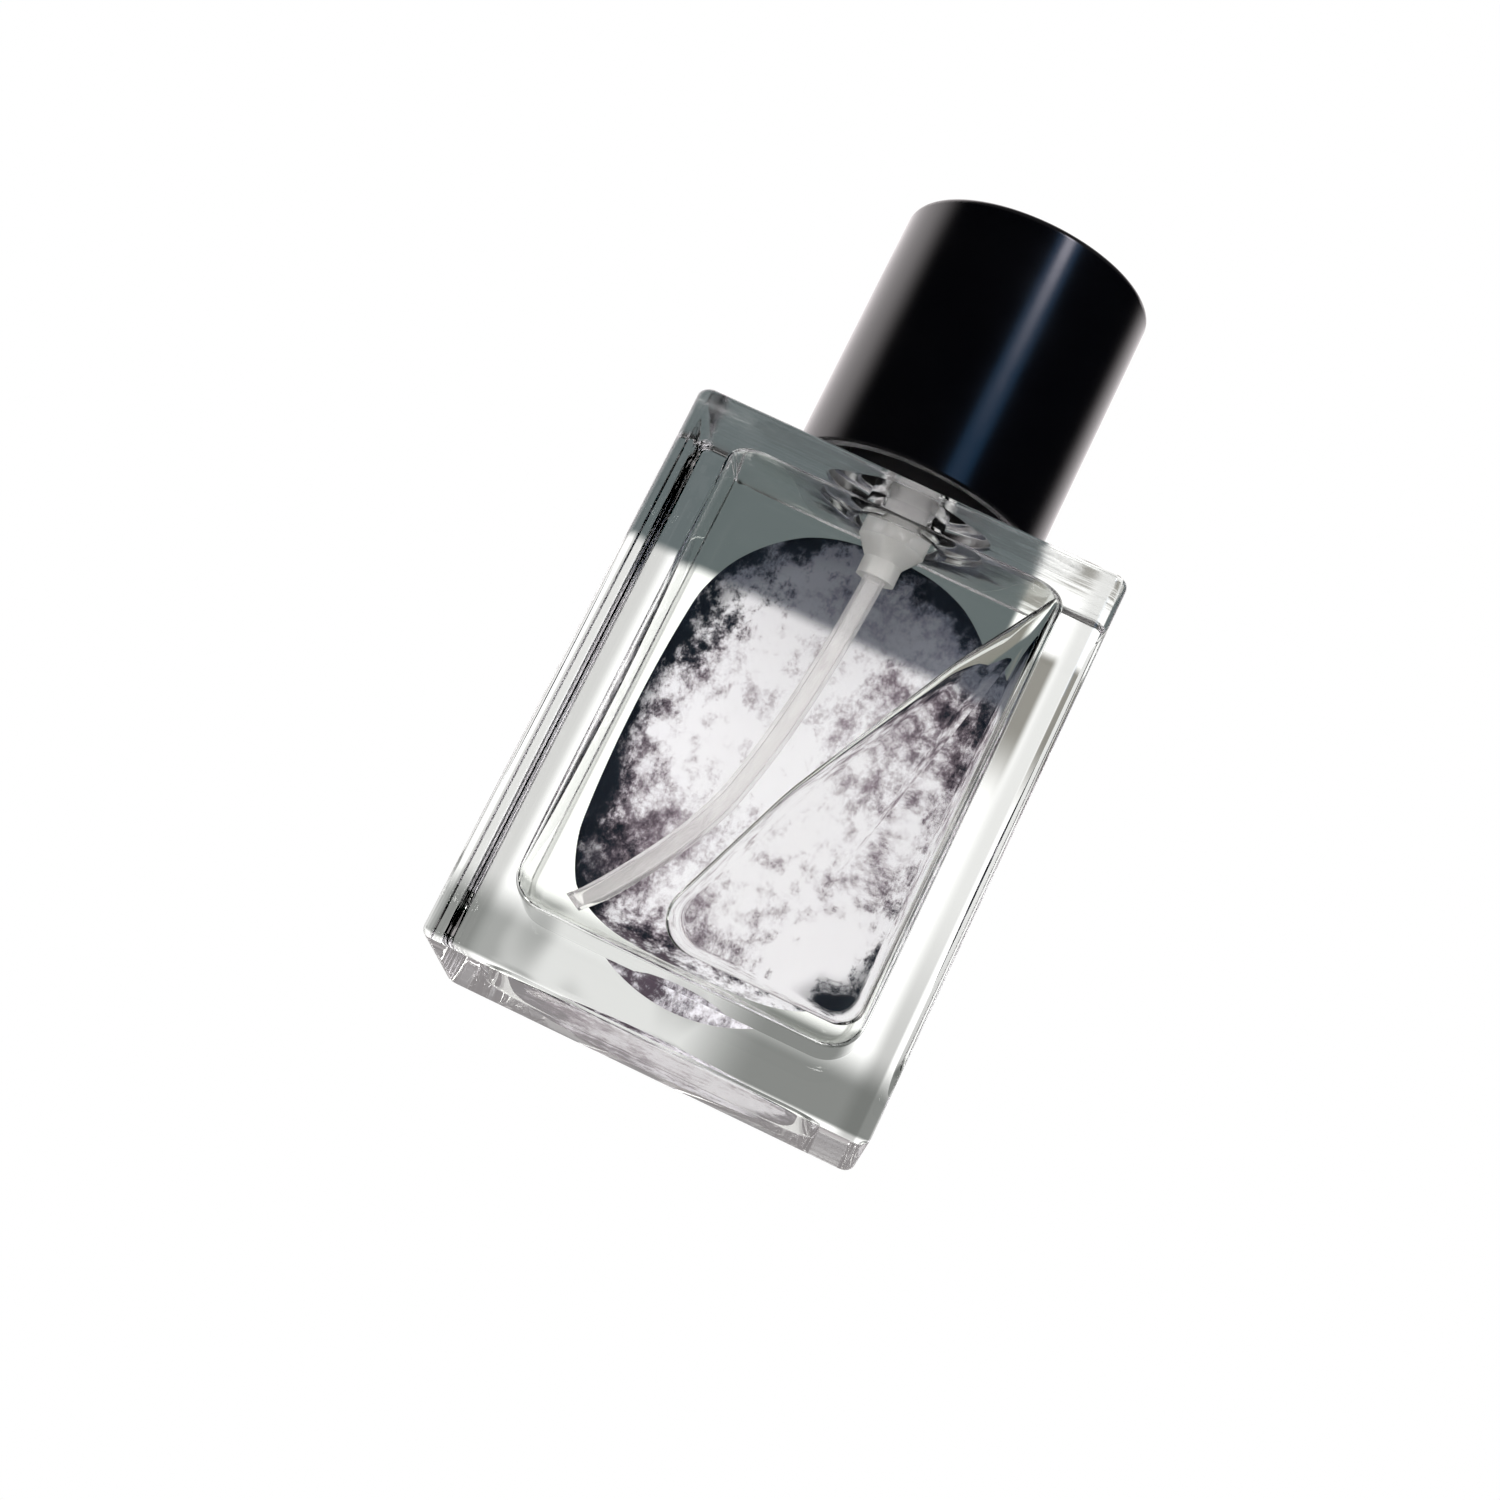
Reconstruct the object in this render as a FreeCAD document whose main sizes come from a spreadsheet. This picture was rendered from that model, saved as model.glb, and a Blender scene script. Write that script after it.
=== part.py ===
import FreeCAD, Part
import Sketcher
import math
import os
import re

# Aftershave bottle of 50 ml: a clear glass block with a crimped spray pump under a plain round cap.
# The bottle stands on the XY plane with Z along its axis. The face towards -Y is the clear front,
# and the label is stuck on the face towards +Y. All sizes are in millimetres.

doc = FreeCAD.newDocument("aftershave_bottle")
sizes = doc.addObject("Spreadsheet::Sheet", "sizes")

DRIVING_SIZES = {
    # glass block
    "body_width": 52.0,
    "body_depth": 32.0,
    "body_height": 68.4,
    "body_corner": 1.8,
    "body_edge": 1.2,
    # hollow of the glass
    "base_thickness": 8.2,
    "shoulder_thickness": 3.2,
    "side_wall": 5.4,
    "face_wall": 4.2,
    "hollow_corner": 4.6,
    "hollow_floor_edge": 4.0,
    "hollow_roof_edge": 2.0,
    # boss and crimp neck
    "boss_radius": 10.0,
    "boss_height": 1.8,
    "boss_edge": 0.6,
    "waist_radius": 6.4,
    "waist_height": 3.0,
    "bead_radius": 7.5,
    "bead_height": 3.4,
    "bead_edge": 0.8,
    "neck_bore_radius": 4.75,
    # label
    "label_width": 40.8,
    "label_height": 60.4,
    "label_end_radius": 19.5,
    "label_centre_height": 36.8,
    "label_thickness": 0.15,
    # air bubble in the liquid, under the front wall
    "bubble_reach": 25.4,
    "bubble_depth": 3.0,
    "bubble_floor_gap": 2.6,
    "bubble_roof_gap": 0.8,
    "bubble_side_gap": 1.2,
    "bubble_left_round": 5.0,
    "bubble_right_round": 3.0,
    "bubble_tip_round": 2.0,
    "bubble_meniscus": 1.6,
    # crimp and collar
    "gasket_thickness": 0.9,
    "gasket_margin": 0.3,
    "flange_radius": 6.8,
    "flange_thickness": 1.2,
    "ferrule_wall": 0.4,
    "ferrule_lip_width": 0.65,
    "ferrule_lip_height": 0.4,
    "collar_wall": 0.5,
    "collar_rise": 4.4,
    "collar_seat_width": 1.05,
    "collar_seat_height": 0.5,
    # pump housing
    "barrel_length": 7.5,
    "lower_barrel_radius": 4.0,
    "lower_barrel_length": 6.2,
    "taper_length": 2.2,
    "socket_length": 2.2,
    "socket_wall": 1.0,
    "tube_seat_depth": 2.8,
    "inlet_radius": 0.75,
    "inlet_length": 1.0,
    "cage_radius": 1.4,
    "cage_height": 2.8,
    "cage_lip_radius": 0.85,
    "cage_lip_height": 0.6,
    "cage_slot_width": 0.5,
    "chamber_radius": 2.9,
    "seal_pocket_radius": 3.5,
    "seal_pocket_depth": 1.8,
    # stem, seal and turret
    "stem_radius": 1.6,
    "stem_bore_radius": 0.7,
    "stem_rise": 8.1,
    "stem_foot_radius": 2.2,
    "stem_foot_height": 0.6,
    "seal_height": 0.7,
    "turret_neck_radius": 2.9,
    "turret_rise": 1.3,
    "piston_height": 1.6,
    "piston_lip": 0.45,
    "piston_groove": 0.4,
    # poppet, spring and ball
    "poppet_radius": 2.5,
    "poppet_height": 0.7,
    "poppet_pin_radius": 1.5,
    "poppet_pin_length": 2.8,
    "poppet_tip_radius": 0.6,
    "poppet_tip_height": 0.8,
    "spring_radius": 2.1,
    "spring_wire": 0.5,
    "spring_turns": 6,
    "ball_radius": 1.15,
    # dip tube
    "tube_radius": 1.3,
    "tube_bore_radius": 0.8,
    "tube_straight": 2.6,
    "tube_upper_bend_height": 29.8,
    "tube_upper_bend_reach": 1.8,
    "tube_lower_bend_height": 14.8,
    "tube_lower_bend_reach": 5.5,
    "tube_end_height": 2.7,
    "tube_end_reach": 14.2,
    # spray button
    "button_radius": 6.2,
    "button_height": 10.0,
    "button_edge": 0.7,
    "sleeve_wall": 0.4,
    "button_skirt_wall": 0.9,
    "button_skirt_depth": 2.8,
    "button_boss_radius": 2.9,
    "button_boss_inset": 1.4,
    "button_overlap": 0.8,
    "nozzle_radius": 1.7,
    "nozzle_length": 2.2,
    "nozzle_drop": 3.2,
    "nozzle_dish": 0.9,
    "nozzle_dish_depth": 0.5,
    "orifice_radius": 0.2,
    "sleeve_hole_margin": 0.3,
    # cap
    "cap_radius": 15.35,
    "cap_height": 32.8,
    "cap_wall": 1.35,
    "cap_roof": 1.6,
    "cap_edge": 0.9,
    "cap_rim_edge": 0.3,
    "liner_wall": 1.05,
    "liner_roof": 1.3,
    "liner_inset": 0.9,
    "grip_wall": 1.0,
    "grip_web_height": 1.2,
    "grip_length": 15.9,
    # clearances
    "seat_gap": 0.1,
    "push_gap": 0.05,
    "running_gap": 0.03,
    "free_gap": 0.2,
    "button_gap": 0.3,
}

for row, (alias, number) in enumerate(DRIVING_SIZES.items(), start=1):
    sizes.set(f"A{row}", alias)
    sizes.set(f"B{row}", str(number))
    sizes.setAlias(f"B{row}", alias)
doc.recompute()

# Levels above the base and radii that several pieces share, as expressions on the sizes.
HOLLOW_TOP = "(body_height - shoulder_thickness)"
BOSS_TOP = "(body_height + boss_height)"
BEAD_FOOT = f"({BOSS_TOP} + waist_height)"
NECK_TOP = f"({BEAD_FOOT} + bead_height)"
FLANGE_FOOT = f"({NECK_TOP} + gasket_thickness)"
FLANGE_TOP = f"({FLANGE_FOOT} + flange_thickness)"
FERRULE_TOP = f"({FLANGE_TOP} + ferrule_wall)"
COLLAR_TOP = f"({FERRULE_TOP} + collar_rise + collar_wall)"
BARREL_FOOT = f"({FLANGE_FOOT} - barrel_length)"
TAPER_TOP = f"({BARREL_FOOT} - lower_barrel_length)"
TAPER_FOOT = f"({TAPER_TOP} - taper_length)"
SOCKET_FOOT = f"({TAPER_FOOT} - socket_length)"
TUBE_TOP = f"({SOCKET_FOOT} + tube_seat_depth)"
SEAT_FOOT = f"({TUBE_TOP} + inlet_length)"
SEAT_TOP = f"({SEAT_FOOT} + cage_radius - inlet_radius)"
CAGE_TOP = f"({SEAT_FOOT} + cage_height)"
CHAMBER_FLOOR = f"({CAGE_TOP} + cage_lip_height)"
SEAL_FOOT = f"({FLANGE_TOP} - seal_pocket_depth)"
SEAL_TOP = f"({SEAL_FOOT} + seal_height)"
TURRET_TOP = f"({FERRULE_TOP} + turret_rise)"
PISTON_TOP = f"({SEAL_FOOT} - free_gap)"
PISTON_FOOT = f"({PISTON_TOP} - piston_height)"
STEM_FOOT = f"({PISTON_FOOT} - stem_foot_height)"
STEM_TOP = f"({TURRET_TOP} + stem_rise)"
POPPET_FOOT = f"({STEM_FOOT} - poppet_height)"
BUTTON_FOOT = f"({COLLAR_TOP} - button_overlap)"
BUTTON_TOP = f"({BUTTON_FOOT} + button_height)"
CORE_TOP = f"({BUTTON_TOP} - sleeve_wall)"
NOZZLE_LEVEL = f"({BUTTON_TOP} - nozzle_drop)"
BARREL_RADIUS = "(neck_bore_radius - free_gap)"
FERRULE_RADIUS = "(bead_radius + push_gap + ferrule_wall)"
COLLAR_INNER = f"({FERRULE_RADIUS} + seat_gap)"
COLLAR_OUTER = f"({COLLAR_INNER} + collar_wall)"
CORE_RADIUS = "(button_radius - sleeve_wall - push_gap)"
CAP_FOOT = f"({BOSS_TOP} + free_gap)"
CAP_TOP = f"({CAP_FOOT} + cap_height)"
LINER_RADIUS = "(cap_radius - cap_wall - push_gap)"
LINER_TOP = f"({CAP_TOP} - cap_roof - push_gap)"
SLEEVE_INNER = f"({COLLAR_OUTER} + push_gap)"


def bound(text):
    """The expression that ties a feature to the sheet: every size in the text is read from it."""
    return re.sub(r"[a-z][a-z0-9_]*\b(?!\()", lambda word: f"sizes.{word.group()}", text)


def value(text):
    """The same expression worked out as a number of millimetres."""
    return float(sizes.evalExpression(bound(text)))


def vector(x, y, z):
    """A point whose three coordinates are expressions."""
    return FreeCAD.Vector(value(x), value(y), value(z))


def new_sketch(body, name, role, offset="0"):
    """A sketch on one of the body's own origin planes, moved along the plane's normal by offset."""
    sketch = body.newObject("Sketcher::SketchObject", name)
    plane = next(item for item in body.Origin.OriginFeatures if item.Role == role)
    sketch.AttachmentSupport = (plane, [""])
    sketch.MapMode = "FlatFace"
    if offset != "0":
        sketch.setExpression("AttachmentOffset.Base.z", bound(offset))
    return sketch


def place(sketch, geometry, point, across, up, name):
    """Ties one point of a sketch to its two coordinates, given as expressions."""
    for axis, line, text in (("X", -2, across), ("Y", -1, up)):
        if text == "0":
            sketch.addConstraint(Sketcher.Constraint("PointOnObject", geometry, point, line))
            continue
        index = sketch.addConstraint(
            Sketcher.Constraint("Distance" + axis, -1, 1, geometry, point, value(text)))
        sketch.renameConstraint(index, name + axis)
        sketch.setExpression("Constraints." + name + axis, bound(text))


def draw_polygon(sketch, corners):
    """A closed run of straight lines through corners given as pairs of expressions."""
    points = [vector(across, up, "0") for across, up in corners]
    count = len(points)
    for index in range(count):
        sketch.addGeometry(Part.LineSegment(points[index], points[(index + 1) % count]), False)
    for index in range(count):
        sketch.addConstraint(Sketcher.Constraint("Coincident", index, 2, (index + 1) % count, 1))
    for index, (across, up) in enumerate(corners):
        place(sketch, index, 1, across, up, f"corner{index}")


def turned(label, outline):
    """A body turned about Z from an outline of (radius, height) corners."""
    body = doc.addObject("PartDesign::Body", label)
    add_turned(body, label, outline)
    return body


def add_turned(body, name, outline):
    """Adds a turned feature about Z to a body."""
    profile = new_sketch(body, name + "_profile", "XZ_Plane")
    draw_polygon(profile, outline)
    revolution = body.newObject("PartDesign::Revolution", name + "_turned")
    revolution.Profile = profile
    revolution.ReferenceAxis = (profile, ["V_Axis"])
    revolution.Angle = 360
    doc.recompute()


def draw_rounded_rectangle(sketch, width, depth, corner):
    """A centred rectangle with four equal corner arcs."""
    half_width, half_depth, radius = value(width) / 2, value(depth) / 2, value(corner)
    middles = ((1, 1), (-1, 1), (-1, -1), (1, -1))
    for quarter, (side, end) in enumerate(middles):
        centre = FreeCAD.Vector(side * (half_width - radius), end * (half_depth - radius), 0)
        circle = Part.Circle(centre, FreeCAD.Vector(0, 0, 1), radius)
        start = quarter * math.pi / 2
        sketch.addGeometry(Part.ArcOfCircle(circle, start, start + math.pi / 2), False)
    for quarter in range(4):
        line = Part.LineSegment(sketch.getPoint(quarter, 2), sketch.getPoint((quarter + 1) % 4, 1))
        sketch.addGeometry(line, False)
    for quarter in range(4):
        sketch.addConstraint(Sketcher.Constraint("Tangent", quarter, 2, 4 + quarter, 1))
        sketch.addConstraint(Sketcher.Constraint("Tangent", 4 + quarter, 2, (quarter + 1) % 4, 1))
    for quarter in range(1, 4):
        sketch.addConstraint(Sketcher.Constraint("Equal", 0, quarter))
    sketch.addConstraint(Sketcher.Constraint("Horizontal", 4))
    sketch.addConstraint(Sketcher.Constraint("Vertical", 5))
    sketch.addConstraint(Sketcher.Constraint("Symmetric", 0, 3, 2, 3, -1, 1))
    radius_index = sketch.addConstraint(Sketcher.Constraint("Radius", 0, radius))
    sketch.renameConstraint(radius_index, "corner")
    sketch.setExpression("Constraints.corner", bound(corner))
    place(sketch, 0, 3, f"({width}) / 2 - {corner}", f"({depth}) / 2 - {corner}", "middle")


def pad(body, name, sketch, length, reverse=False):
    """Extrudes a sketch along its normal, or against it."""
    feature = body.newObject("PartDesign::Pad", name)
    feature.Profile = sketch
    feature.Reversed = reverse
    feature.setExpression("Length", bound(length))
    doc.recompute()


def fillet(body, name, radius, wanted):
    """Rounds the edges of the body's last feature for which wanted(edge) holds."""
    base = body.Tip
    chosen = [f"Edge{i}" for i, edge in enumerate(base.Shape.Edges, start=1) if wanted(edge)]
    feature = body.newObject("PartDesign::Fillet", name)
    feature.Base = (base, chosen)
    feature.setExpression("Radius", bound(radius))
    doc.recompute()


def near(first, second):
    """True where two lengths are the same to a thousandth of a millimetre."""
    return abs(first - second) < 0.001


def at_level(height):
    """Picks the edges that lie wholly at one height."""
    level = value(height)
    return lambda edge: near(edge.BoundBox.ZMin, level) and near(edge.BoundBox.ZMax, level)


def at_rims(*rims):
    """Picks the round edges at the given (radius, height) corners of a turned piece."""
    places = [(value(radius), value(height)) for radius, height in rims]

    def wanted(edge):
        box = edge.BoundBox
        return any(near(box.XMax, radius) and near(box.ZMin, height) and near(box.ZMax, height)
                   for radius, height in places)
    return wanted


def boolean(kind, label, base, tool):
    """A boolean of two objects, such as a cut."""
    result = doc.addObject(kind, label)
    result.Base = base
    result.Tool = tool
    doc.recompute()
    return result


# Glass bottle: a block with rounded edges, a boss and a crimp neck, less its hollow and neck bore.

bottle_outside = doc.addObject("PartDesign::Body", "bottle_outside")
block_plan = new_sketch(bottle_outside, "block_plan", "XY_Plane")
draw_rounded_rectangle(block_plan, "body_width", "body_depth", "body_corner")
pad(bottle_outside, "block", block_plan, "body_height")
on_base = at_level("0")
on_shoulder = at_level("body_height")
fillet(bottle_outside, "block_edges", "body_edge", lambda edge: on_base(edge) or on_shoulder(edge))
add_turned(bottle_outside, "neck", [
    ("0", HOLLOW_TOP),
    ("boss_radius", HOLLOW_TOP),
    ("boss_radius", BOSS_TOP),
    ("waist_radius", BOSS_TOP),
    ("waist_radius", BEAD_FOOT),
    ("bead_radius", BEAD_FOOT),
    ("bead_radius", NECK_TOP),
    ("0", NECK_TOP),
])
fillet(bottle_outside, "boss_rim", "boss_edge", at_rims(("boss_radius", BOSS_TOP)))
fillet(bottle_outside, "bead_rims", "bead_edge",
       at_rims(("bead_radius", BEAD_FOOT), ("bead_radius", NECK_TOP)))

bottle_hollow = doc.addObject("PartDesign::Body", "bottle_hollow")
hollow_plan = new_sketch(bottle_hollow, "hollow_plan", "XY_Plane", "base_thickness")
HOLLOW_WIDTH = "(body_width - 2 * side_wall)"
HOLLOW_DEPTH = "(body_depth - 2 * face_wall)"
draw_rounded_rectangle(hollow_plan, HOLLOW_WIDTH, HOLLOW_DEPTH, "hollow_corner")
pad(bottle_hollow, "hollow", hollow_plan, f"{HOLLOW_TOP} - base_thickness")
fillet(bottle_hollow, "floor_edges", "hollow_floor_edge", at_level("base_thickness"))
fillet(bottle_hollow, "roof_edges", "hollow_roof_edge", at_level(HOLLOW_TOP))

neck_bore = doc.addObject("Part::Cylinder", "neck_bore")
neck_bore.setExpression("Radius", bound("neck_bore_radius"))
neck_bore.setExpression("Height", bound(f"{NECK_TOP} - {HOLLOW_TOP} + 2 * shoulder_thickness"))
neck_bore.setExpression("Placement.Base.z", bound(f"{HOLLOW_TOP} - shoulder_thickness"))
blank = boolean("Part::Cut", "bottle_without_bore", bottle_outside, bottle_hollow)
glass_bottle = boolean("Part::Cut", "glass_bottle", blank, neck_bore)

# Label: an oval of four arcs, stuck on the back face.

oval_label = doc.addObject("PartDesign::Body", "oval_label")
label_outline = new_sketch(oval_label, "label_outline", "XZ_Plane", "-body_depth / 2")
half_label = value("label_width / 2")
rise_label = value("label_height / 2")
end_radius = value("label_end_radius")
LABEL_SIDE_RADIUS = ("((label_width ^ 2 + label_height ^ 2) / 4 - label_height * label_end_radius)"
                     " / (label_width - 2 * label_end_radius)")
side_radius = value(LABEL_SIDE_RADIUS)
turn = math.atan2(rise_label - end_radius, side_radius - half_label)
middle = value("label_centre_height")
label_arcs = (
    (half_label - side_radius, middle, side_radius, -turn, turn),
    (0, middle + rise_label - end_radius, end_radius, turn, math.pi - turn),
    (side_radius - half_label, middle, side_radius, math.pi - turn, math.pi + turn),
    (0, middle - rise_label + end_radius, end_radius, math.pi + turn, 2 * math.pi - turn),
)
for across, up, radius, start, end in label_arcs:
    circle = Part.Circle(FreeCAD.Vector(across, up, 0), FreeCAD.Vector(0, 0, 1), radius)
    label_outline.addGeometry(Part.ArcOfCircle(circle, start, end), False)
for arc in range(4):
    label_outline.addConstraint(Sketcher.Constraint("Tangent", arc, 2, (arc + 1) % 4, 1))
label_radii = (LABEL_SIDE_RADIUS, "label_end_radius", LABEL_SIDE_RADIUS, "label_end_radius")
for arc, text in enumerate(label_radii):
    index = label_outline.addConstraint(Sketcher.Constraint("Radius", arc, value(text)))
    label_outline.renameConstraint(index, f"radius{arc}")
    label_outline.setExpression(f"Constraints.radius{arc}", bound(text))
LABEL_RISE = "(label_height / 2 - label_end_radius)"
place(label_outline, 1, 3, "0", f"label_centre_height + {LABEL_RISE}", "top_end")
place(label_outline, 3, 3, "0", f"label_centre_height - {LABEL_RISE}", "foot_end")
pad(oval_label, "label_sheet", label_outline, "label_thickness", reverse=True)

# Pump housing: a flanged barrel with the chamber, the ball cage and the socket of the dip tube.

pump_housing = turned("pump_housing", [
    ("tube_radius + running_gap", SOCKET_FOOT),
    ("tube_radius + running_gap + socket_wall", SOCKET_FOOT),
    ("tube_radius + running_gap + socket_wall", TAPER_FOOT),
    ("lower_barrel_radius", TAPER_TOP),
    ("lower_barrel_radius", BARREL_FOOT),
    (BARREL_RADIUS, BARREL_FOOT),
    (BARREL_RADIUS, FLANGE_FOOT),
    ("flange_radius", FLANGE_FOOT),
    ("flange_radius", FLANGE_TOP),
    ("seal_pocket_radius", FLANGE_TOP),
    ("seal_pocket_radius", SEAL_FOOT),
    ("chamber_radius", SEAL_FOOT),
    ("chamber_radius", CHAMBER_FLOOR),
    ("cage_lip_radius", CHAMBER_FLOOR),
    ("cage_lip_radius", CAGE_TOP),
    ("cage_radius", CAGE_TOP),
    ("cage_radius", SEAT_TOP),
    ("inlet_radius", SEAT_FOOT),
    ("inlet_radius", TUBE_TOP),
    ("tube_radius + running_gap", TUBE_TOP),
])
slot_plan = new_sketch(pump_housing, "cage_slot_plan", "XY_Plane", CHAMBER_FLOOR)
HALF_SLOT = "cage_slot_width / 2"
draw_polygon(slot_plan, [
    ("-cage_radius", f"-{HALF_SLOT}"),
    ("cage_radius", f"-{HALF_SLOT}"),
    ("cage_radius", HALF_SLOT),
    ("-cage_radius", HALF_SLOT),
])
cage_slot = pump_housing.newObject("PartDesign::Pocket", "cage_slot")
cage_slot.Profile = slot_plan
cage_slot.setExpression("Length", bound("cage_lip_height"))
doc.recompute()
slot_pattern = pump_housing.newObject("PartDesign::PolarPattern", "cage_slots")
slot_pattern.Originals = [cage_slot]
slot_pattern.Axis = (slot_plan, ["N_Axis"])
slot_pattern.Angle = 180
slot_pattern.Occurrences = 2
pump_housing.Tip = slot_pattern
doc.recompute()

# Crimp: gasket on the glass lip, ferrule over the flange and under the bead, collar over the ferrule.

neck_gasket = turned("neck_gasket", [
    (f"{BARREL_RADIUS} + push_gap", NECK_TOP),
    ("bead_radius - gasket_margin", NECK_TOP),
    ("bead_radius - gasket_margin", FLANGE_FOOT),
    (f"{BARREL_RADIUS} + push_gap", FLANGE_FOOT),
])
FERRULE_INNER = "(bead_radius + push_gap)"
FERRULE_LIP_TOP = f"({BEAD_FOOT} - running_gap)"
FERRULE_FOOT = f"({FERRULE_LIP_TOP} - ferrule_lip_height)"
FERRULE_HOLE = "(turret_neck_radius + free_gap)"
crimp_ferrule = turned("crimp_ferrule", [
    (f"{FERRULE_INNER} - ferrule_lip_width", FERRULE_FOOT),
    (FERRULE_RADIUS, FERRULE_FOOT),
    (FERRULE_RADIUS, FERRULE_TOP),
    (FERRULE_HOLE, FERRULE_TOP),
    (FERRULE_HOLE, FLANGE_TOP),
    (FERRULE_INNER, FLANGE_TOP),
    (FERRULE_INNER, FERRULE_LIP_TOP),
    (f"{FERRULE_INNER} - ferrule_lip_width", FERRULE_LIP_TOP),
])
COLLAR_FOOT = f"({BOSS_TOP} + seat_gap)"
COLLAR_MOUTH = "(button_radius + button_gap)"
collar = turned("collar", [
    (COLLAR_INNER, COLLAR_FOOT),
    (COLLAR_OUTER, COLLAR_FOOT),
    (COLLAR_OUTER, COLLAR_TOP),
    (COLLAR_MOUTH, COLLAR_TOP),
    (COLLAR_MOUTH, f"{COLLAR_TOP} - collar_wall"),
    (COLLAR_INNER, f"{COLLAR_TOP} - collar_wall"),
    (COLLAR_INNER, f"{FERRULE_TOP} + collar_seat_height"),
    (f"{COLLAR_INNER} - collar_seat_width", f"{FERRULE_TOP} + collar_seat_height"),
    (f"{COLLAR_INNER} - collar_seat_width", FERRULE_TOP),
    (COLLAR_INNER, FERRULE_TOP),
])
fillet(collar, "collar_top_rim", "collar_wall / 2", at_rims((COLLAR_OUTER, COLLAR_TOP)))

# Turret and stem seal, which close the chamber round the stem.

STEM_HOLE = "(stem_radius + running_gap)"
stem_seal = turned("stem_seal", [
    (STEM_HOLE, SEAL_FOOT),
    ("seal_pocket_radius - push_gap", SEAL_FOOT),
    ("seal_pocket_radius - push_gap", SEAL_TOP),
    (STEM_HOLE, SEAL_TOP),
])
pump_turret = turned("pump_turret", [
    (STEM_HOLE, SEAL_TOP),
    ("seal_pocket_radius - push_gap", SEAL_TOP),
    ("seal_pocket_radius - push_gap", FLANGE_TOP),
    ("turret_neck_radius", FLANGE_TOP),
    ("turret_neck_radius", TURRET_TOP),
    (STEM_HOLE, TURRET_TOP),
])

# Plunger: hollow stem with a foot, piston on the stem, poppet valve under the foot.

pump_stem = turned("pump_stem", [
    ("stem_bore_radius", STEM_FOOT),
    ("stem_foot_radius", STEM_FOOT),
    ("stem_foot_radius", PISTON_FOOT),
    ("stem_radius", PISTON_FOOT),
    ("stem_radius", STEM_TOP),
    ("stem_bore_radius", STEM_TOP),
])
PISTON_RADIUS = "(chamber_radius - running_gap)"
pump_piston = turned("pump_piston", [
    ("stem_radius", PISTON_FOOT),
    (PISTON_RADIUS, PISTON_FOOT),
    (PISTON_RADIUS, f"{PISTON_FOOT} + piston_lip"),
    (f"{PISTON_RADIUS} - piston_groove", f"{PISTON_FOOT} + piston_lip"),
    (f"{PISTON_RADIUS} - piston_groove", f"{PISTON_TOP} - piston_lip"),
    (PISTON_RADIUS, f"{PISTON_TOP} - piston_lip"),
    (PISTON_RADIUS, PISTON_TOP),
    ("stem_radius", PISTON_TOP),
])
poppet_valve = turned("poppet_valve", [
    ("0", f"{POPPET_FOOT} - poppet_pin_length"),
    ("poppet_pin_radius", f"{POPPET_FOOT} - poppet_pin_length"),
    ("poppet_pin_radius", POPPET_FOOT),
    ("poppet_radius", POPPET_FOOT),
    ("poppet_radius", STEM_FOOT),
    ("poppet_tip_radius", STEM_FOOT),
    ("0", f"{STEM_FOOT} + poppet_tip_height"),
])


def arc_middle(start, corner, end):
    """The middle of the arc from start to end whose end tangents meet at corner."""
    chord_middle = (start + end) / 2
    half_chord = start.distanceToPoint(end) / 2
    towards = corner - chord_middle
    half_turn = math.atan2(towards.Length, half_chord)
    return chord_middle + towards.normalize() * half_chord * math.tan(half_turn / 2)


def biarc(start, start_tangent, end, end_tangent):
    """Two arcs that leave start and reach end along the given unit tangents."""
    span = end - start
    along = span.dot(start_tangent + end_tangent)
    spread = 2 * (1 - start_tangent.dot(end_tangent))
    reach = (-along + math.sqrt(along ** 2 + spread * span.dot(span))) / spread
    first_corner = start + start_tangent * reach
    second_corner = end - end_tangent * reach
    joint = (first_corner + second_corner) / 2
    return [Part.Arc(start, arc_middle(start, first_corner, joint), joint).toShape(),
            Part.Arc(joint, arc_middle(joint, second_corner, end), end).toShape()]


def round_tube(path, start, tangent, radius):
    """A solid round bar of one radius along a path."""
    section = Part.Wire(Part.Circle(start, tangent, radius).toShape())
    return path.makePipeShell([section], True, False)


# Return spring: one round wire wound as a helix between the chamber floor and the poppet.

def make_spring():
    """The helix as quarter turns of two arcs each. Prints its least gap between turns."""
    radius = value("spring_radius")
    wire = value("spring_wire")
    turns = int(value("spring_turns"))
    foot = value(f"{CHAMBER_FLOOR} + push_gap") + wire / 2
    head = value(f"{POPPET_FOOT} - push_gap") - wire / 2
    pitch = (head - foot) / turns
    quarters = 4 * turns

    def point(quarter):
        angle = quarter * math.pi / 2
        return FreeCAD.Vector(radius * math.cos(angle), radius * math.sin(angle), foot + pitch * quarter / 4)

    def tangent(quarter):
        angle = quarter * math.pi / 2
        slope = pitch / (2 * math.pi)
        return FreeCAD.Vector(-radius * math.sin(angle), radius * math.cos(angle), slope).normalize()

    edges = []
    for quarter in range(quarters):
        edges += biarc(point(quarter), tangent(quarter), point(quarter + 1), tangent(quarter + 1))
    path = Part.Wire(edges)
    points = path.discretize(Number=32 * turns)
    least = min(first.distanceToPoint(second)
                for place_in_row, first in enumerate(points)
                for second in points[place_in_row + 20:])
    print(f"least gap between the turns of the spring: {least - wire:.2f} mm")
    return round_tube(path, point(0), tangent(0), wire / 2)


return_spring = doc.addObject("Part::Feature", "return_spring")
return_spring.Shape = make_spring()

# Inlet ball: rests on the cone of the cage, which slopes at 45 degrees.

inlet_ball = doc.addObject("Part::Sphere", "inlet_ball")
inlet_ball.setExpression("Radius", bound("ball_radius"))
BALL_HEIGHT = f"{SEAT_FOOT} - inlet_radius + ball_radius * sqrt(2) + running_gap"
inlet_ball.setExpression("Placement.Base.z", bound(BALL_HEIGHT))

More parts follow.
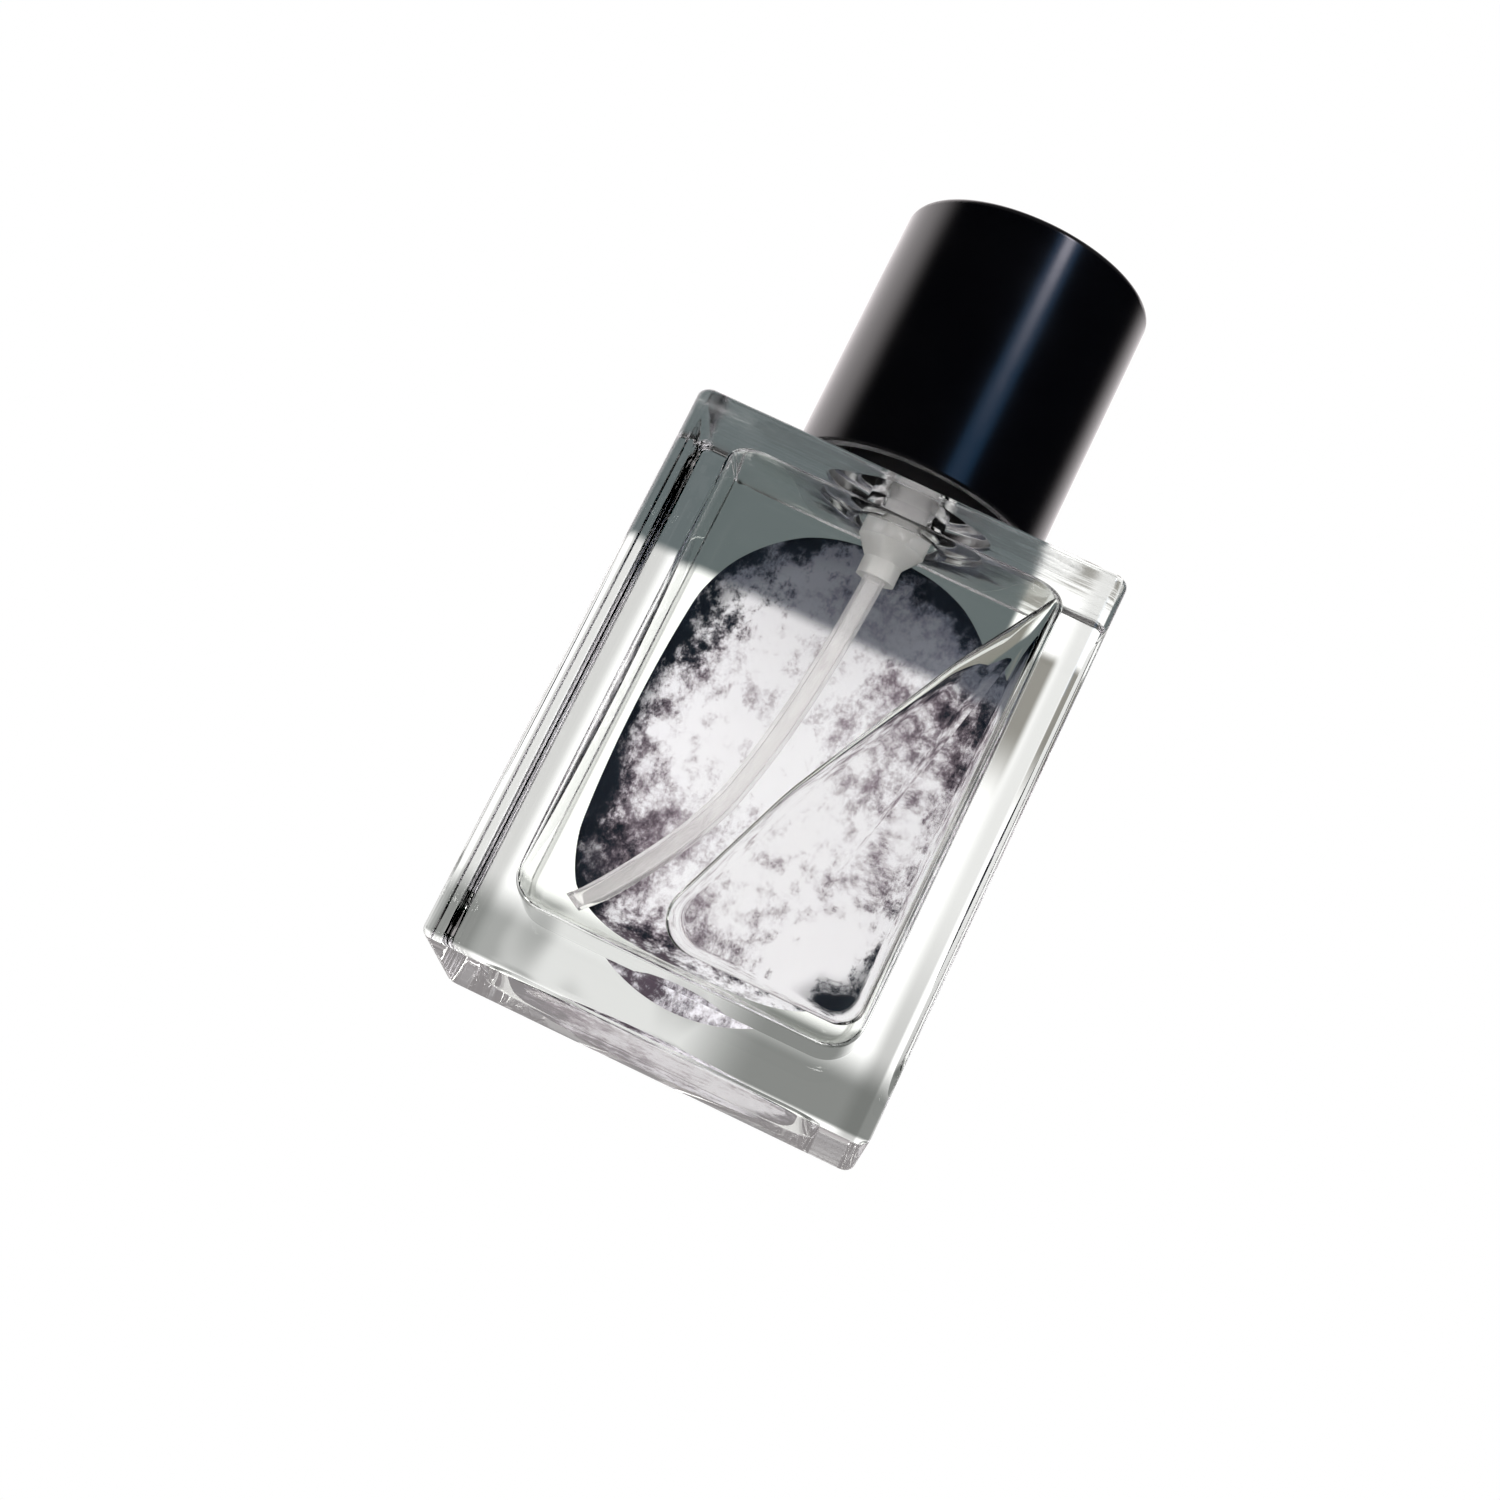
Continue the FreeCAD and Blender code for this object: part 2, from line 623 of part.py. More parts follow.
# Dip tube: straight runs joined by tangent arcs, from the socket to the left corner of the hollow.

def make_tube():
    """The tube along its route. Prints its radii and compares its volume with section times length."""
    floor = value("base_thickness")
    top = value(TUBE_TOP)
    route = [FreeCAD.Vector(0, 0, top)]
    route.append(FreeCAD.Vector(0, 0, value(f"{SOCKET_FOOT} - tube_straight")))
    for bend in ("upper_bend", "lower_bend", "end"):
        reach = value(f"tube_{bend}_reach")
        route.append(FreeCAD.Vector(-reach, 0, floor + value(f"tube_{bend}_height")))
    edges = []
    start = route[0]
    for before, corner, after in zip(route, route[1:], route[2:]):
        inward = (corner - before).normalize()
        outward = (after - corner).normalize()
        shorter = min(before.distanceToPoint(corner), corner.distanceToPoint(after))
        cut = 0.45 * shorter
        print(f"dip tube bend radius: {cut / math.tan(inward.getAngle(outward) / 2):.0f} mm")
        first = corner - inward * cut
        last = corner + outward * cut
        edges.append(Part.LineSegment(start, first).toShape())
        edges.append(Part.Arc(first, arc_middle(first, corner, last), last).toShape())
        start = last
    edges.append(Part.LineSegment(start, route[-1]).toShape())
    path = Part.Wire(edges)
    down = FreeCAD.Vector(0, 0, -1)
    outside = round_tube(path, route[0], down, value("tube_radius"))
    inside = round_tube(path, route[0], down, value("tube_bore_radius"))
    tube = outside.cut(inside)
    section = math.pi * (value("tube_radius") ** 2 - value("tube_bore_radius") ** 2)
    print(f"dip tube volume over section times length: {tube.Volume / (section * path.Length):.4f}")
    return tube.Solids[0]


dip_tube = doc.addObject("Part::Feature", "dip_tube")
dip_tube.Shape = make_tube()

# Liquid: fills the hollow round the pump and the tube, but for the air bubble under the front wall.

BUBBLE_FLOOR = "(base_thickness + bubble_floor_gap)"
BUBBLE_ROOF = f"({HOLLOW_TOP} - bubble_roof_gap)"
BUBBLE_RIGHT = f"({HOLLOW_WIDTH} / 2 - bubble_side_gap)"
BUBBLE_LEFT = f"({BUBBLE_RIGHT} - bubble_reach)"
BUBBLE_FRONT = f"({HOLLOW_DEPTH} / 2)"


def upright_at(across, up):
    """Picks the edge along Y at one place in the front view."""
    x, z = value(across), value(up)
    return lambda edge: (near(edge.BoundBox.XMin, x) and near(edge.BoundBox.XMax, x)
                         and near(edge.BoundBox.ZMin, z) and near(edge.BoundBox.ZMax, z))


air_bubble = doc.addObject("PartDesign::Body", "air_bubble")
bubble_outline = new_sketch(air_bubble, "bubble_outline", "XZ_Plane", BUBBLE_FRONT)
draw_polygon(bubble_outline, [
    (BUBBLE_LEFT, BUBBLE_FLOOR),
    (BUBBLE_RIGHT, BUBBLE_FLOOR),
    (BUBBLE_RIGHT, BUBBLE_ROOF),
])
pad(air_bubble, "bubble", bubble_outline, "bubble_depth", reverse=True)
fillet(air_bubble, "bubble_left", "bubble_left_round", upright_at(BUBBLE_LEFT, BUBBLE_FLOOR))
fillet(air_bubble, "bubble_right", "bubble_right_round", upright_at(BUBBLE_RIGHT, BUBBLE_FLOOR))
fillet(air_bubble, "bubble_tip", "bubble_tip_round", upright_at(BUBBLE_RIGHT, BUBBLE_ROOF))
bubble_back = value(f"bubble_depth - {BUBBLE_FRONT}")
fillet(air_bubble, "bubble_meniscus_edge", "bubble_meniscus",
       lambda edge: near(edge.BoundBox.YMin, bubble_back) and near(edge.BoundBox.YMax, bubble_back))

pump_space = turned("pump_space", [
    ("0", SOCKET_FOOT),
    ("tube_radius + running_gap + socket_wall", SOCKET_FOOT),
    ("tube_radius + running_gap + socket_wall", TAPER_FOOT),
    ("lower_barrel_radius", TAPER_TOP),
    ("lower_barrel_radius", HOLLOW_TOP),
    ("neck_bore_radius", HOLLOW_TOP),
    ("neck_bore_radius", FLANGE_FOOT),
    ("0", FLANGE_FOOT),
])
fill_round_pump = boolean("Part::Cut", "fill_round_pump", bottle_hollow, pump_space)
fill_round_tube = boolean("Part::Cut", "fill_round_tube", fill_round_pump, dip_tube)
aftershave_fill = boolean("Part::Cut", "aftershave_fill", fill_round_tube, air_bubble)

# Spray button: core on the stem, thin sleeve over it, nozzle insert in its side.

SOCKET_RADIUS = "(stem_radius + running_gap)"
SOCKET_TOP = f"({STEM_TOP} + seat_gap)"
spray_button = turned("spray_button", [
    (f"{CORE_RADIUS} - button_skirt_wall", BUTTON_FOOT),
    (CORE_RADIUS, BUTTON_FOOT),
    (CORE_RADIUS, CORE_TOP),
    ("0", CORE_TOP),
    ("0", NOZZLE_LEVEL),
    ("stem_bore_radius", NOZZLE_LEVEL),
    ("stem_bore_radius", SOCKET_TOP),
    (SOCKET_RADIUS, SOCKET_TOP),
    (SOCKET_RADIUS, f"{BUTTON_FOOT} + button_boss_inset"),
    ("button_boss_radius", f"{BUTTON_FOOT} + button_boss_inset"),
    ("button_boss_radius", f"{BUTTON_FOOT} + button_skirt_depth"),
    (f"{CORE_RADIUS} - button_skirt_wall", f"{BUTTON_FOOT} + button_skirt_depth"),
])
fillet(spray_button, "core_top_rim", "button_edge - sleeve_wall", at_rims((CORE_RADIUS, CORE_TOP)))


def side_bore(body, name, radius, level, depth, start):
    """Bores a round hole along Y into the front of a body, from start out to start plus depth."""
    plan = new_sketch(body, name + "_plan", "XZ_Plane", start)
    centre = vector("0", level, "0")
    plan.addGeometry(Part.Circle(centre, FreeCAD.Vector(0, 0, 1), value(radius)), False)
    index = plan.addConstraint(Sketcher.Constraint("Radius", 0, value(radius)))
    plan.renameConstraint(index, "bore")
    plan.setExpression("Constraints.bore", bound(radius))
    place(plan, 0, 3, "0", level, "centre")
    pocket = body.newObject("PartDesign::Pocket", name)
    pocket.Profile = plan
    pocket.Reversed = True
    pocket.setExpression("Length", bound(depth))
    doc.recompute()


NOZZLE_SEAT = "(button_radius - nozzle_length)"
side_bore(spray_button, "nozzle_pocket", "nozzle_radius + running_gap", NOZZLE_LEVEL,
          "button_radius", f"{NOZZLE_SEAT} - running_gap")
side_bore(spray_button, "spray_channel", "stem_bore_radius", NOZZLE_LEVEL, "button_radius", "0")

button_sleeve = turned("button_sleeve", [
    ("button_radius - sleeve_wall", BUTTON_FOOT),
    ("button_radius", BUTTON_FOOT),
    ("button_radius", BUTTON_TOP),
    ("0", BUTTON_TOP),
    ("0", CORE_TOP),
    ("button_radius - sleeve_wall", CORE_TOP),
])
fillet(button_sleeve, "sleeve_top_rim", "button_edge", at_rims(("button_radius", BUTTON_TOP)))
fillet(button_sleeve, "sleeve_inner_rim", "button_edge - sleeve_wall",
       at_rims(("button_radius - sleeve_wall", CORE_TOP)))
side_bore(button_sleeve, "nozzle_window", "nozzle_radius + sleeve_hole_margin", NOZZLE_LEVEL,
          "button_radius", "button_radius / 2")

nozzle_insert = turned("nozzle_insert", [
    ("stem_bore_radius", "0"),
    ("nozzle_radius", "0"),
    ("nozzle_radius", "nozzle_length"),
    ("nozzle_dish", "nozzle_length"),
    ("orifice_radius", "nozzle_length - nozzle_dish_depth"),
    ("orifice_radius", "nozzle_length - 2 * nozzle_dish_depth"),
    ("stem_bore_radius", "nozzle_length - 2 * nozzle_dish_depth"),
])
nozzle_insert.Placement = FreeCAD.Placement(
    FreeCAD.Vector(0, 0, 0), FreeCAD.Rotation(FreeCAD.Vector(1, 0, 0), 90))
nozzle_insert.setExpression("Placement.Base.y", bound(f"-{NOZZLE_SEAT}"))
nozzle_insert.setExpression("Placement.Base.z", bound(NOZZLE_LEVEL))

# Cap: outer shell, a cup that lines it, and a grip pressed into the cup, whose sleeve slides on the collar.

CAP_INNER = "(cap_radius - cap_wall)"
cap_shell = turned("cap_shell", [
    (CAP_INNER, CAP_FOOT),
    ("cap_radius", CAP_FOOT),
    ("cap_radius", CAP_TOP),
    ("0", CAP_TOP),
    ("0", f"{CAP_TOP} - cap_roof"),
    (CAP_INNER, f"{CAP_TOP} - cap_roof"),
])
fillet(cap_shell, "cap_top_rim", "cap_edge", at_rims(("cap_radius", CAP_TOP)))
fillet(cap_shell, "cap_foot_rim", "cap_rim_edge", at_rims(("cap_radius", CAP_FOOT)))
LINER_BORE = f"({LINER_RADIUS} - liner_wall)"
cap_liner = turned("cap_liner", [
    (LINER_BORE, f"{CAP_FOOT} + liner_inset"),
    (LINER_RADIUS, f"{CAP_FOOT} + liner_inset"),
    (LINER_RADIUS, LINER_TOP),
    ("0", LINER_TOP),
    ("0", f"{LINER_TOP} - liner_roof"),
    (LINER_BORE, f"{LINER_TOP} - liner_roof"),
])
GRIP_RADIUS = f"({LINER_BORE} - push_gap)"
GRIP_FOOT = f"({BOSS_TOP} + seat_gap)"
GRIP_TOP = f"({GRIP_FOOT} + grip_length)"
SLEEVE_OUTER = f"({SLEEVE_INNER} + grip_wall)"
cap_grip = turned("cap_grip", [
    (SLEEVE_INNER, GRIP_FOOT),
    (SLEEVE_OUTER, GRIP_FOOT),
    (SLEEVE_OUTER, f"{GRIP_TOP} - grip_web_height"),
    (GRIP_RADIUS, f"{GRIP_TOP} - grip_web_height"),
    (GRIP_RADIUS, GRIP_TOP),
    (SLEEVE_INNER, GRIP_TOP),
])

SUB_PARTS = (
    glass_bottle, aftershave_fill, oval_label,
    pump_housing, neck_gasket, crimp_ferrule, collar, stem_seal, pump_turret,
    pump_stem, pump_piston, poppet_valve, return_spring, inlet_ball, dip_tube,
    spray_button, button_sleeve, nozzle_insert,
    cap_shell, cap_liner, cap_grip,
)

doc.recompute()
for item in doc.Objects:
    if {"Invalid", "Error"} & set(item.State):
        raise RuntimeError(f"{item.Label} failed: {item.State}")
for item in SUB_PARTS:
    if item.Shape.isNull() or not item.Shape.isValid():
        raise RuntimeError(f"{item.Label} has no valid shape")
    if len(item.Shape.Solids) != 1:
        raise RuntimeError(f"{item.Label} has {len(item.Shape.Solids)} solids")

os.makedirs("parts", exist_ok=True)
for item in SUB_PARTS:
    item.Shape.exportStep(f"parts/{item.Label}.step")
    print(f"{item.Label}: {item.Shape.Volume:.1f} cubic mm")
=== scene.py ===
import bpy
import numpy as np
from mathutils import Euler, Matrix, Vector


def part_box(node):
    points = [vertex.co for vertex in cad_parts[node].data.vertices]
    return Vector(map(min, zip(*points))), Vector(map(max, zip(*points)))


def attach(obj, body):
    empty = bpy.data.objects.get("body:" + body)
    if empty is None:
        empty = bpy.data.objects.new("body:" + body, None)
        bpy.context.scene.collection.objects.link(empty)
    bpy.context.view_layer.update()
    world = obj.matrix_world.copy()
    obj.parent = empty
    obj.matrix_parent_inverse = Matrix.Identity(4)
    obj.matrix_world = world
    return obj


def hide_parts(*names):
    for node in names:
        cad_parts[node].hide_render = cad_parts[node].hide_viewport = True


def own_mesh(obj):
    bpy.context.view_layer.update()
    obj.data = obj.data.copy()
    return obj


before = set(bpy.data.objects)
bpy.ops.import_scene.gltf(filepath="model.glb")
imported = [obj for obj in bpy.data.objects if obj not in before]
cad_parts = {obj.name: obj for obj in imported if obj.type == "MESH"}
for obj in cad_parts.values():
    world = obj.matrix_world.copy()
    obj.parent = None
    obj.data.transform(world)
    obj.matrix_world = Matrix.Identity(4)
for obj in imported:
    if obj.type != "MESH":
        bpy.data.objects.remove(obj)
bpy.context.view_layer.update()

# Glass bottle: a block of clear flint glass, pressed in a mould with thick walls and a heavy base.
# A round boss and a crimp neck stand on its shoulder. Its skin runs from the middle of the underside
# up the outside, over the lip and down the hollow to the middle of the floor.

MM = 0.001


def box_mm(node):
    """Lowest and highest corner of a node, in millimetres."""
    return [np.array(corner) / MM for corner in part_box(node)]


def rounded(corners, steps=8):
    """An outline through (across, up, rounding) corners, as an array of points.
    Each rounded corner becomes an arc tangent to its two runs, and each run gets a point close to
    the arc at either end, which keeps the run flat under smooth shading."""
    points = np.array(corners, float)
    place, rounding = points[:, :2], points[:, 2]
    before = np.roll(place, 1, axis=0) - place
    after = np.roll(place, -1, axis=0) - place
    run_before = np.linalg.norm(before, axis=1)
    run_after = np.linalg.norm(after, axis=1)
    before /= run_before[:, None]
    after /= run_after[:, None]
    half_angle = np.arccos(np.clip((before * after).sum(axis=1), -1, 1)) / 2
    cut = np.where(rounding > 0, rounding / np.tan(half_angle), 0)
    free = run_after - cut - np.roll(cut, -1)
    hold_after = np.minimum(0.3 * cut, 0.3 * free)
    hold_before = np.minimum(0.3 * cut, 0.3 * np.roll(free, 1))
    share = np.linspace(0, 1, steps + 1)[:, None]
    outline = []
    for corner in range(len(points)):
        if rounding[corner] == 0:
            outline.append(place[corner:corner + 1])
            continue
        inward = before[corner] + after[corner]
        inward /= np.linalg.norm(inward)
        centre = place[corner] + inward * rounding[corner] / np.sin(half_angle[corner])
        first = place[corner] + before[corner] * cut[corner] - centre
        last = place[corner] + after[corner] * cut[corner] - centre
        sweep = np.pi - 2 * half_angle[corner]
        arc = (np.sin((1 - share) * sweep) * first + np.sin(share * sweep) * last) / np.sin(sweep)
        outline.append(place[corner] + before[corner] * (cut[corner] + hold_before[corner]))
        outline.append(centre + arc)
        outline.append(place[corner] + after[corner] * (cut[corner] + hold_after[corner]))
    return np.vstack(outline)


def skin(name, rings, start=None, end=None, strip_slots=None):
    """A closed skin over a stack of rings of equally many points, in millimetres.
    Each ring is joined to the next by quads. The first and last ring close in fans on the points
    start and end or, without these, on each other. strip_slots gives each strip its material."""
    rows, columns = rings.shape[:2]
    index = np.arange(rows * columns).reshape(rows, columns)
    lower, upper = (index, np.roll(index, -1, axis=0)) if start is None else (index[:-1], index[1:])
    quads = np.stack([lower, np.roll(lower, -1, axis=1), np.roll(upper, -1, axis=1), upper], axis=-1)
    strips = np.zeros(len(lower), int) if strip_slots is None else np.array(strip_slots)
    points = rings.reshape(-1, 3)
    faces = quads.reshape(-1, 4).tolist()
    slots = np.repeat(strips, columns)
    if start is not None:
        foot, head = rows * columns, rows * columns + 1
        points = np.vstack([points, start, end])
        faces += np.stack([np.full(columns, foot), np.roll(index[0], -1), index[0]], axis=-1).tolist()
        faces += np.stack([index[-1], np.roll(index[-1], -1), np.full(columns, head)], axis=-1).tolist()
        slots = np.concatenate([slots, np.repeat(strips[[0, -1]], columns)])
    mesh = bpy.data.meshes.new(name)
    mesh.from_pydata(points * MM, [], faces)
    mesh.polygons.foreach_set("material_index", slots.astype(np.int32))
    mesh.shade_smooth()
    piece = bpy.data.objects.new(name, mesh)
    bpy.context.scene.collection.objects.link(piece)
    return piece


class Shade:
    """An output socket of a node tree. Arithmetic on it adds Math nodes to the tree."""

    def __init__(self, nodes, socket):
        self.nodes = nodes
        self.socket = socket

    def math(self, operation, *terms):
        return self.nodes.add("Math", {"operation": operation}, dict(enumerate(terms)))

    def __add__(self, other):
        return self.math("ADD", self, other)

    def __radd__(self, other):
        return self.math("ADD", other, self)

    def __sub__(self, other):
        return self.math("SUBTRACT", self, other)

    def __rsub__(self, other):
        return self.math("SUBTRACT", other, self)

    def __mul__(self, other):
        return self.math("MULTIPLY", self, other)

    def __rmul__(self, other):
        return self.math("MULTIPLY", other, self)

    def __truediv__(self, other):
        return self.math("DIVIDE", self, other)

    def __rtruediv__(self, other):
        return self.math("DIVIDE", other, self)

    def __pow__(self, other):
        return self.math("POWER", self, other)

    def __abs__(self):
        return self.math("ABSOLUTE", self)

    def highest(self, other):
        return self.math("MAXIMUM", self, other)

    def lowest(self, other):
        return self.math("MINIMUM", self, other)

    def step(self, low, high):
        """A smooth step from 0 at low to 1 at high, which may be the smaller of the two."""
        settings = {"interpolation_type": "SMOOTHSTEP"}
        if low < high:
            return self.nodes.add("MapRange", settings, {0: self, 1: low, 2: high, 3: 0.0, 4: 1.0})
        return self.nodes.add("MapRange", settings, {0: self, 1: high, 2: low, 3: 1.0, 4: 0.0})


class Nodes:
    """The node tree of a material or of the world."""

    def __init__(self, owner):
        owner.use_nodes = True
        self.owner = owner
        self.tree = owner.node_tree
        self.tree.nodes.clear()

    def add(self, kind, settings, inputs, output=0):
        """Adds a node: first its settings, then the value or link of each input. Returns an output."""
        made = self.tree.nodes.new("ShaderNode" + kind)
        for key, setting in settings.items():
            setattr(made, key, setting)
        for key, given in inputs.items():
            if isinstance(given, Shade):
                self.tree.links.new(given.socket, made.inputs[key])
            elif made.inputs[key].type == "RGBA":
                made.inputs[key].default_value = (*given, 1)
            else:
                made.inputs[key].default_value = given
        return Shade(self, made.outputs[output])

    def place(self):
        """Object coordinates, in metres in the row frame."""
        return self.add("TexCoord", {}, {}, "Object")

    def axes(self, vector):
        """The three parts of a vector."""
        return [self.add("SeparateXYZ", {}, {0: vector}, axis) for axis in "XYZ"]

    def stretched(self, vector, scale):
        """A vector scaled by three factors, or by one."""
        factors = scale if isinstance(scale, tuple) else (scale,) * 3
        return self.add("Mapping", {"vector_type": "POINT"}, {"Vector": vector, "Scale": factors})

    def noise(self, vector, detail=2.0, roughness=0.5):
        """Noise from 0 to 1 whose grain is one unit of the vector."""
        return self.add("TexNoise", {}, {"Vector": vector, "Scale": 1.0, "Detail": detail,
                                         "Roughness": roughness})

    def bump(self, height, depth):
        """A normal from a height from 0 to 1 that stands depth metres proud."""
        return self.add("Bump", {}, {"Height": height, "Distance": depth, "Strength": 1.0})

    def blend(self, share, first, second):
        """A colour from first at share 0 to second at share 1."""
        return self.add("Mix", {"data_type": "RGBA"}, {0: share, 6: first, 7: second}, 2)

    def surface(self, shader):
        """Ends the tree on a shader and returns the material or world."""
        kind = "OutputWorld" if isinstance(self.owner, bpy.types.World) else "OutputMaterial"
        end = self.tree.nodes.new("ShaderNode" + kind)
        self.tree.links.new(shader.socket, end.inputs["Surface"])
        return self.owner

    def principled(self, **inputs):
        """A material of one Principled shader; the inputs' names have _ for spaces."""
        named = {key.replace("_", " "): given for key, given in inputs.items()}
        return self.surface(self.add("BsdfPrincipled", {}, named))


GLASS_IOR = 1.5
LIQUID_IOR = 1.36


def clear_glass(name, ior, wave, depth, shoulder_depth=0.0):
    """Clear glass with a faint green cast, whose faces wander a little as moulded faces do.
    ior is relative to what the face touches. The waves are wave metres long and depth high; above
    the hollow, streaks shoulder_depth high are added to them. The top of the shoulder is given a
    little roughness, which calms its reflections."""
    nodes = Nodes(bpy.data.materials.new(name))
    place = nodes.place()
    waves = nodes.noise(nodes.stretched(place, 1 / wave), detail=1.0)
    streaks = nodes.noise(nodes.stretched(place, (90.0, 260.0, 260.0)), detail=2.0)
    above = nodes.axes(place)[2].step(0.0650, 0.0672)
    height = waves * depth + streaks * above * shoulder_depth
    on_top = nodes.axes(place)[2].step(0.0680, 0.0684)
    return nodes.principled(Base_Color=(0.985, 0.992, 0.986), Roughness=on_top * 0.2, IOR=ior,
                            Transmission_Weight=1.0, Normal=nodes.bump(height, 1.0))


bottle_low, bottle_high = box_mm("glass_bottle")
hollow_low, hollow_high = box_mm("aftershave_fill")
HALF_WIDTH, HALF_DEPTH = bottle_high[:2]
NECK_TOP = bottle_high[2]
BODY_HEIGHT = 68.4
BODY_CORNER = 1.8
BODY_EDGE = 1.2
HOLLOW_HALF_WIDTH, HOLLOW_HALF_DEPTH, HOLLOW_TOP = hollow_high
HOLLOW_FLOOR = hollow_low[2]
HOLLOW_CORNER = 4.6
HOLLOW_FLOOR_EDGE = 4.0
HOLLOW_ROOF_EDGE = 2.0
BOSS_RADIUS = 10.0
BOSS_TOP = 70.2
WAIST_RADIUS = 6.4
BEAD_RADIUS = 7.5
BEAD_FOOT = 73.2
BEAD_EDGE = 0.8
BORE_RADIUS = 4.75
COLUMN_TURN = np.radians(2.5)
CORNER_COLUMNS = 49


def quarter_columns():
    """Columns of a quarter of the block's plan, about evenly turned about the axis.
    Returns the shares of the two straight runs, and the angle that the face points at."""
    across = HALF_WIDTH - BODY_CORNER
    along = HALF_DEPTH - BODY_CORNER
    side_end = np.arctan2(along, HALF_WIDTH)
    face_start = np.arctan2(HALF_DEPTH, across)
    side_turn = np.linspace(0, side_end, int(side_end / COLUMN_TURN) + 1)[:-1]
    face_count = int((np.pi / 2 - face_start) / COLUMN_TURN) + 1
    face_turn = np.linspace(np.pi / 2, face_start, face_count)[:-1][::-1]
    arc = np.linspace(0, np.pi / 2, CORNER_COLUMNS)
    side = (np.ones_like(side_turn), HALF_WIDTH * np.tan(side_turn) / along, np.zeros_like(side_turn))
    corner = (np.ones_like(arc), np.ones_like(arc), arc)
    face = (HALF_DEPTH / np.tan(face_turn) / across, np.ones_like(face_turn),
            np.full_like(face_turn, np.pi / 2))
    return [np.concatenate(parts) for parts in zip(side, corner, face)]


share_x, share_y, facing = quarter_columns()
share_x = np.concatenate([share_x, -share_x[-2::-1], -share_x[1:], share_x[-2:0:-1]])
share_y = np.concatenate([share_y, share_y[-2::-1], -share_y[1:], -share_y[-2:0:-1]])
facing = np.concatenate([facing, np.pi - facing[-2::-1], np.pi + facing[1:], 2 * np.pi - facing[-2:0:-1]])


def plan_rings(half_width, half_depth, corner, outline):
    """Rounded rectangles at the (outset, height) points of an outline, as rings.
    Each is the plan grown by the outset, its corners with it."""
    outset, height = outline[:, :1], outline[:, 1:]
    radius = corner + outset
    x = (half_width - corner) * share_x + radius * np.cos(facing)
    y = (half_depth - corner) * share_y + radius * np.sin(facing)
    return np.stack([x, y, np.broadcast_to(height, x.shape)], axis=-1)


block_rings = plan_rings(HALF_WIDTH, HALF_DEPTH, BODY_CORNER, rounded([
    (-1.6, 0.0, 0),
    (0.0, 0.0, BODY_EDGE),
    (0.0, BODY_HEIGHT, BODY_EDGE),
    (-1.6, BODY_HEIGHT, 0),
], steps=24))
column_turn = np.arctan2(block_rings[0, :, 1], block_rings[0, :, 0])


def round_rings(outline, turn):
    """The (radius, height) points of an outline carried round the axis, as rings."""
    radius, height = outline[:, :1], outline[:, 1:]
    x, y = radius * np.cos(turn), radius * np.sin(turn)
    return np.stack([x, y, np.broadcast_to(height, x.shape)], axis=-1)


neck_rings = round_rings(rounded([
    (BOSS_RADIUS + 2, BODY_HEIGHT, 0),
    (BOSS_RADIUS, BODY_HEIGHT, 0.4),
    (BOSS_RADIUS, BOSS_TOP, 0.6),
    (WAIST_RADIUS, BOSS_TOP, 0.5),
    (WAIST_RADIUS, BEAD_FOOT, 0.4),
    (BEAD_RADIUS, BEAD_FOOT, BEAD_EDGE),
    (BEAD_RADIUS, NECK_TOP, BEAD_EDGE),
    (BORE_RADIUS, NECK_TOP, 0.4),
    (BORE_RADIUS, HOLLOW_TOP, 0.8),
    (BORE_RADIUS + 1.5, HOLLOW_TOP, 0),
]), column_turn)


def hollow_rings(inset):
    """The walls of the hollow from its roof to its floor, drawn in by an inset."""
    return plan_rings(HOLLOW_HALF_WIDTH - inset, HOLLOW_HALF_DEPTH - inset, HOLLOW_CORNER - inset, rounded([
        (-2.6, HOLLOW_TOP - inset, 0),
        (0.0, HOLLOW_TOP - inset, HOLLOW_ROOF_EDGE),
        (0.0, HOLLOW_FLOOR + inset, HOLLOW_FLOOR_EDGE),
        (-4.3, HOLLOW_FLOOR + inset, 0),
    ], steps=12))


wall_rings = hollow_rings(0.0)
glass_rings = np.concatenate([block_rings, neck_rings, wall_rings])
DRY, WET = 0, 1
wet_from = len(block_rings) + len(neck_rings) - 1
glass_strips = np.where(np.arange(len(glass_rings) - 1) < wet_from, DRY, WET)
glass = skin("bottle_glass", glass_rings, (0, 0, 0), (0, 0, HOLLOW_FLOOR), glass_strips)
glass.data.materials.append(clear_glass("glass_in_air", GLASS_IOR, 0.020, 0.000001, 0.0003))
glass.data.materials.append(clear_glass("glass_in_liquid", GLASS_IOR / LIQUID_IOR, 0.009, 0.00004))
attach(glass, "bottle")
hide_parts("glass_bottle")

# Dip tube: extruded clear polyethylene, pushed into the socket of the pump. It bends to the lower
# left corner of the hollow, where the last of the liquid gathers.

TUBE_RADIUS = 1.3
TUBE_BORE = 0.8
TUBE_ROUTE = ((0, 0, 62.2), (0, 0, 56.8), (-1.8, 0, 38.0), (-5.5, 0, 23.0), (-14.2, 0, 10.9))


def spline_points(name, route):
    """Points along the smooth line that has the route for its control points, from end to end."""
    curve = bpy.data.curves.new(name, "CURVE")
    curve.dimensions = "3D"
    spline = curve.splines.new("NURBS")
    spline.points.add(len(route) - 1)
    spline.points.foreach_set("co", np.hstack([np.array(route, float), np.ones((len(route), 1))]).ravel())
    spline.order_u = 3
    spline.use_endpoint_u = True
    spline.resolution_u = 24
    holder = bpy.data.objects.new(name, curve)
    line = bpy.data.meshes.new_from_object(holder)
    points = np.empty(3 * len(line.vertices))
    line.vertices.foreach_get("co", points)
    bpy.data.objects.remove(holder)
    return points.reshape(-1, 3)


tube_line = spline_points("tube_line", TUBE_ROUTE)


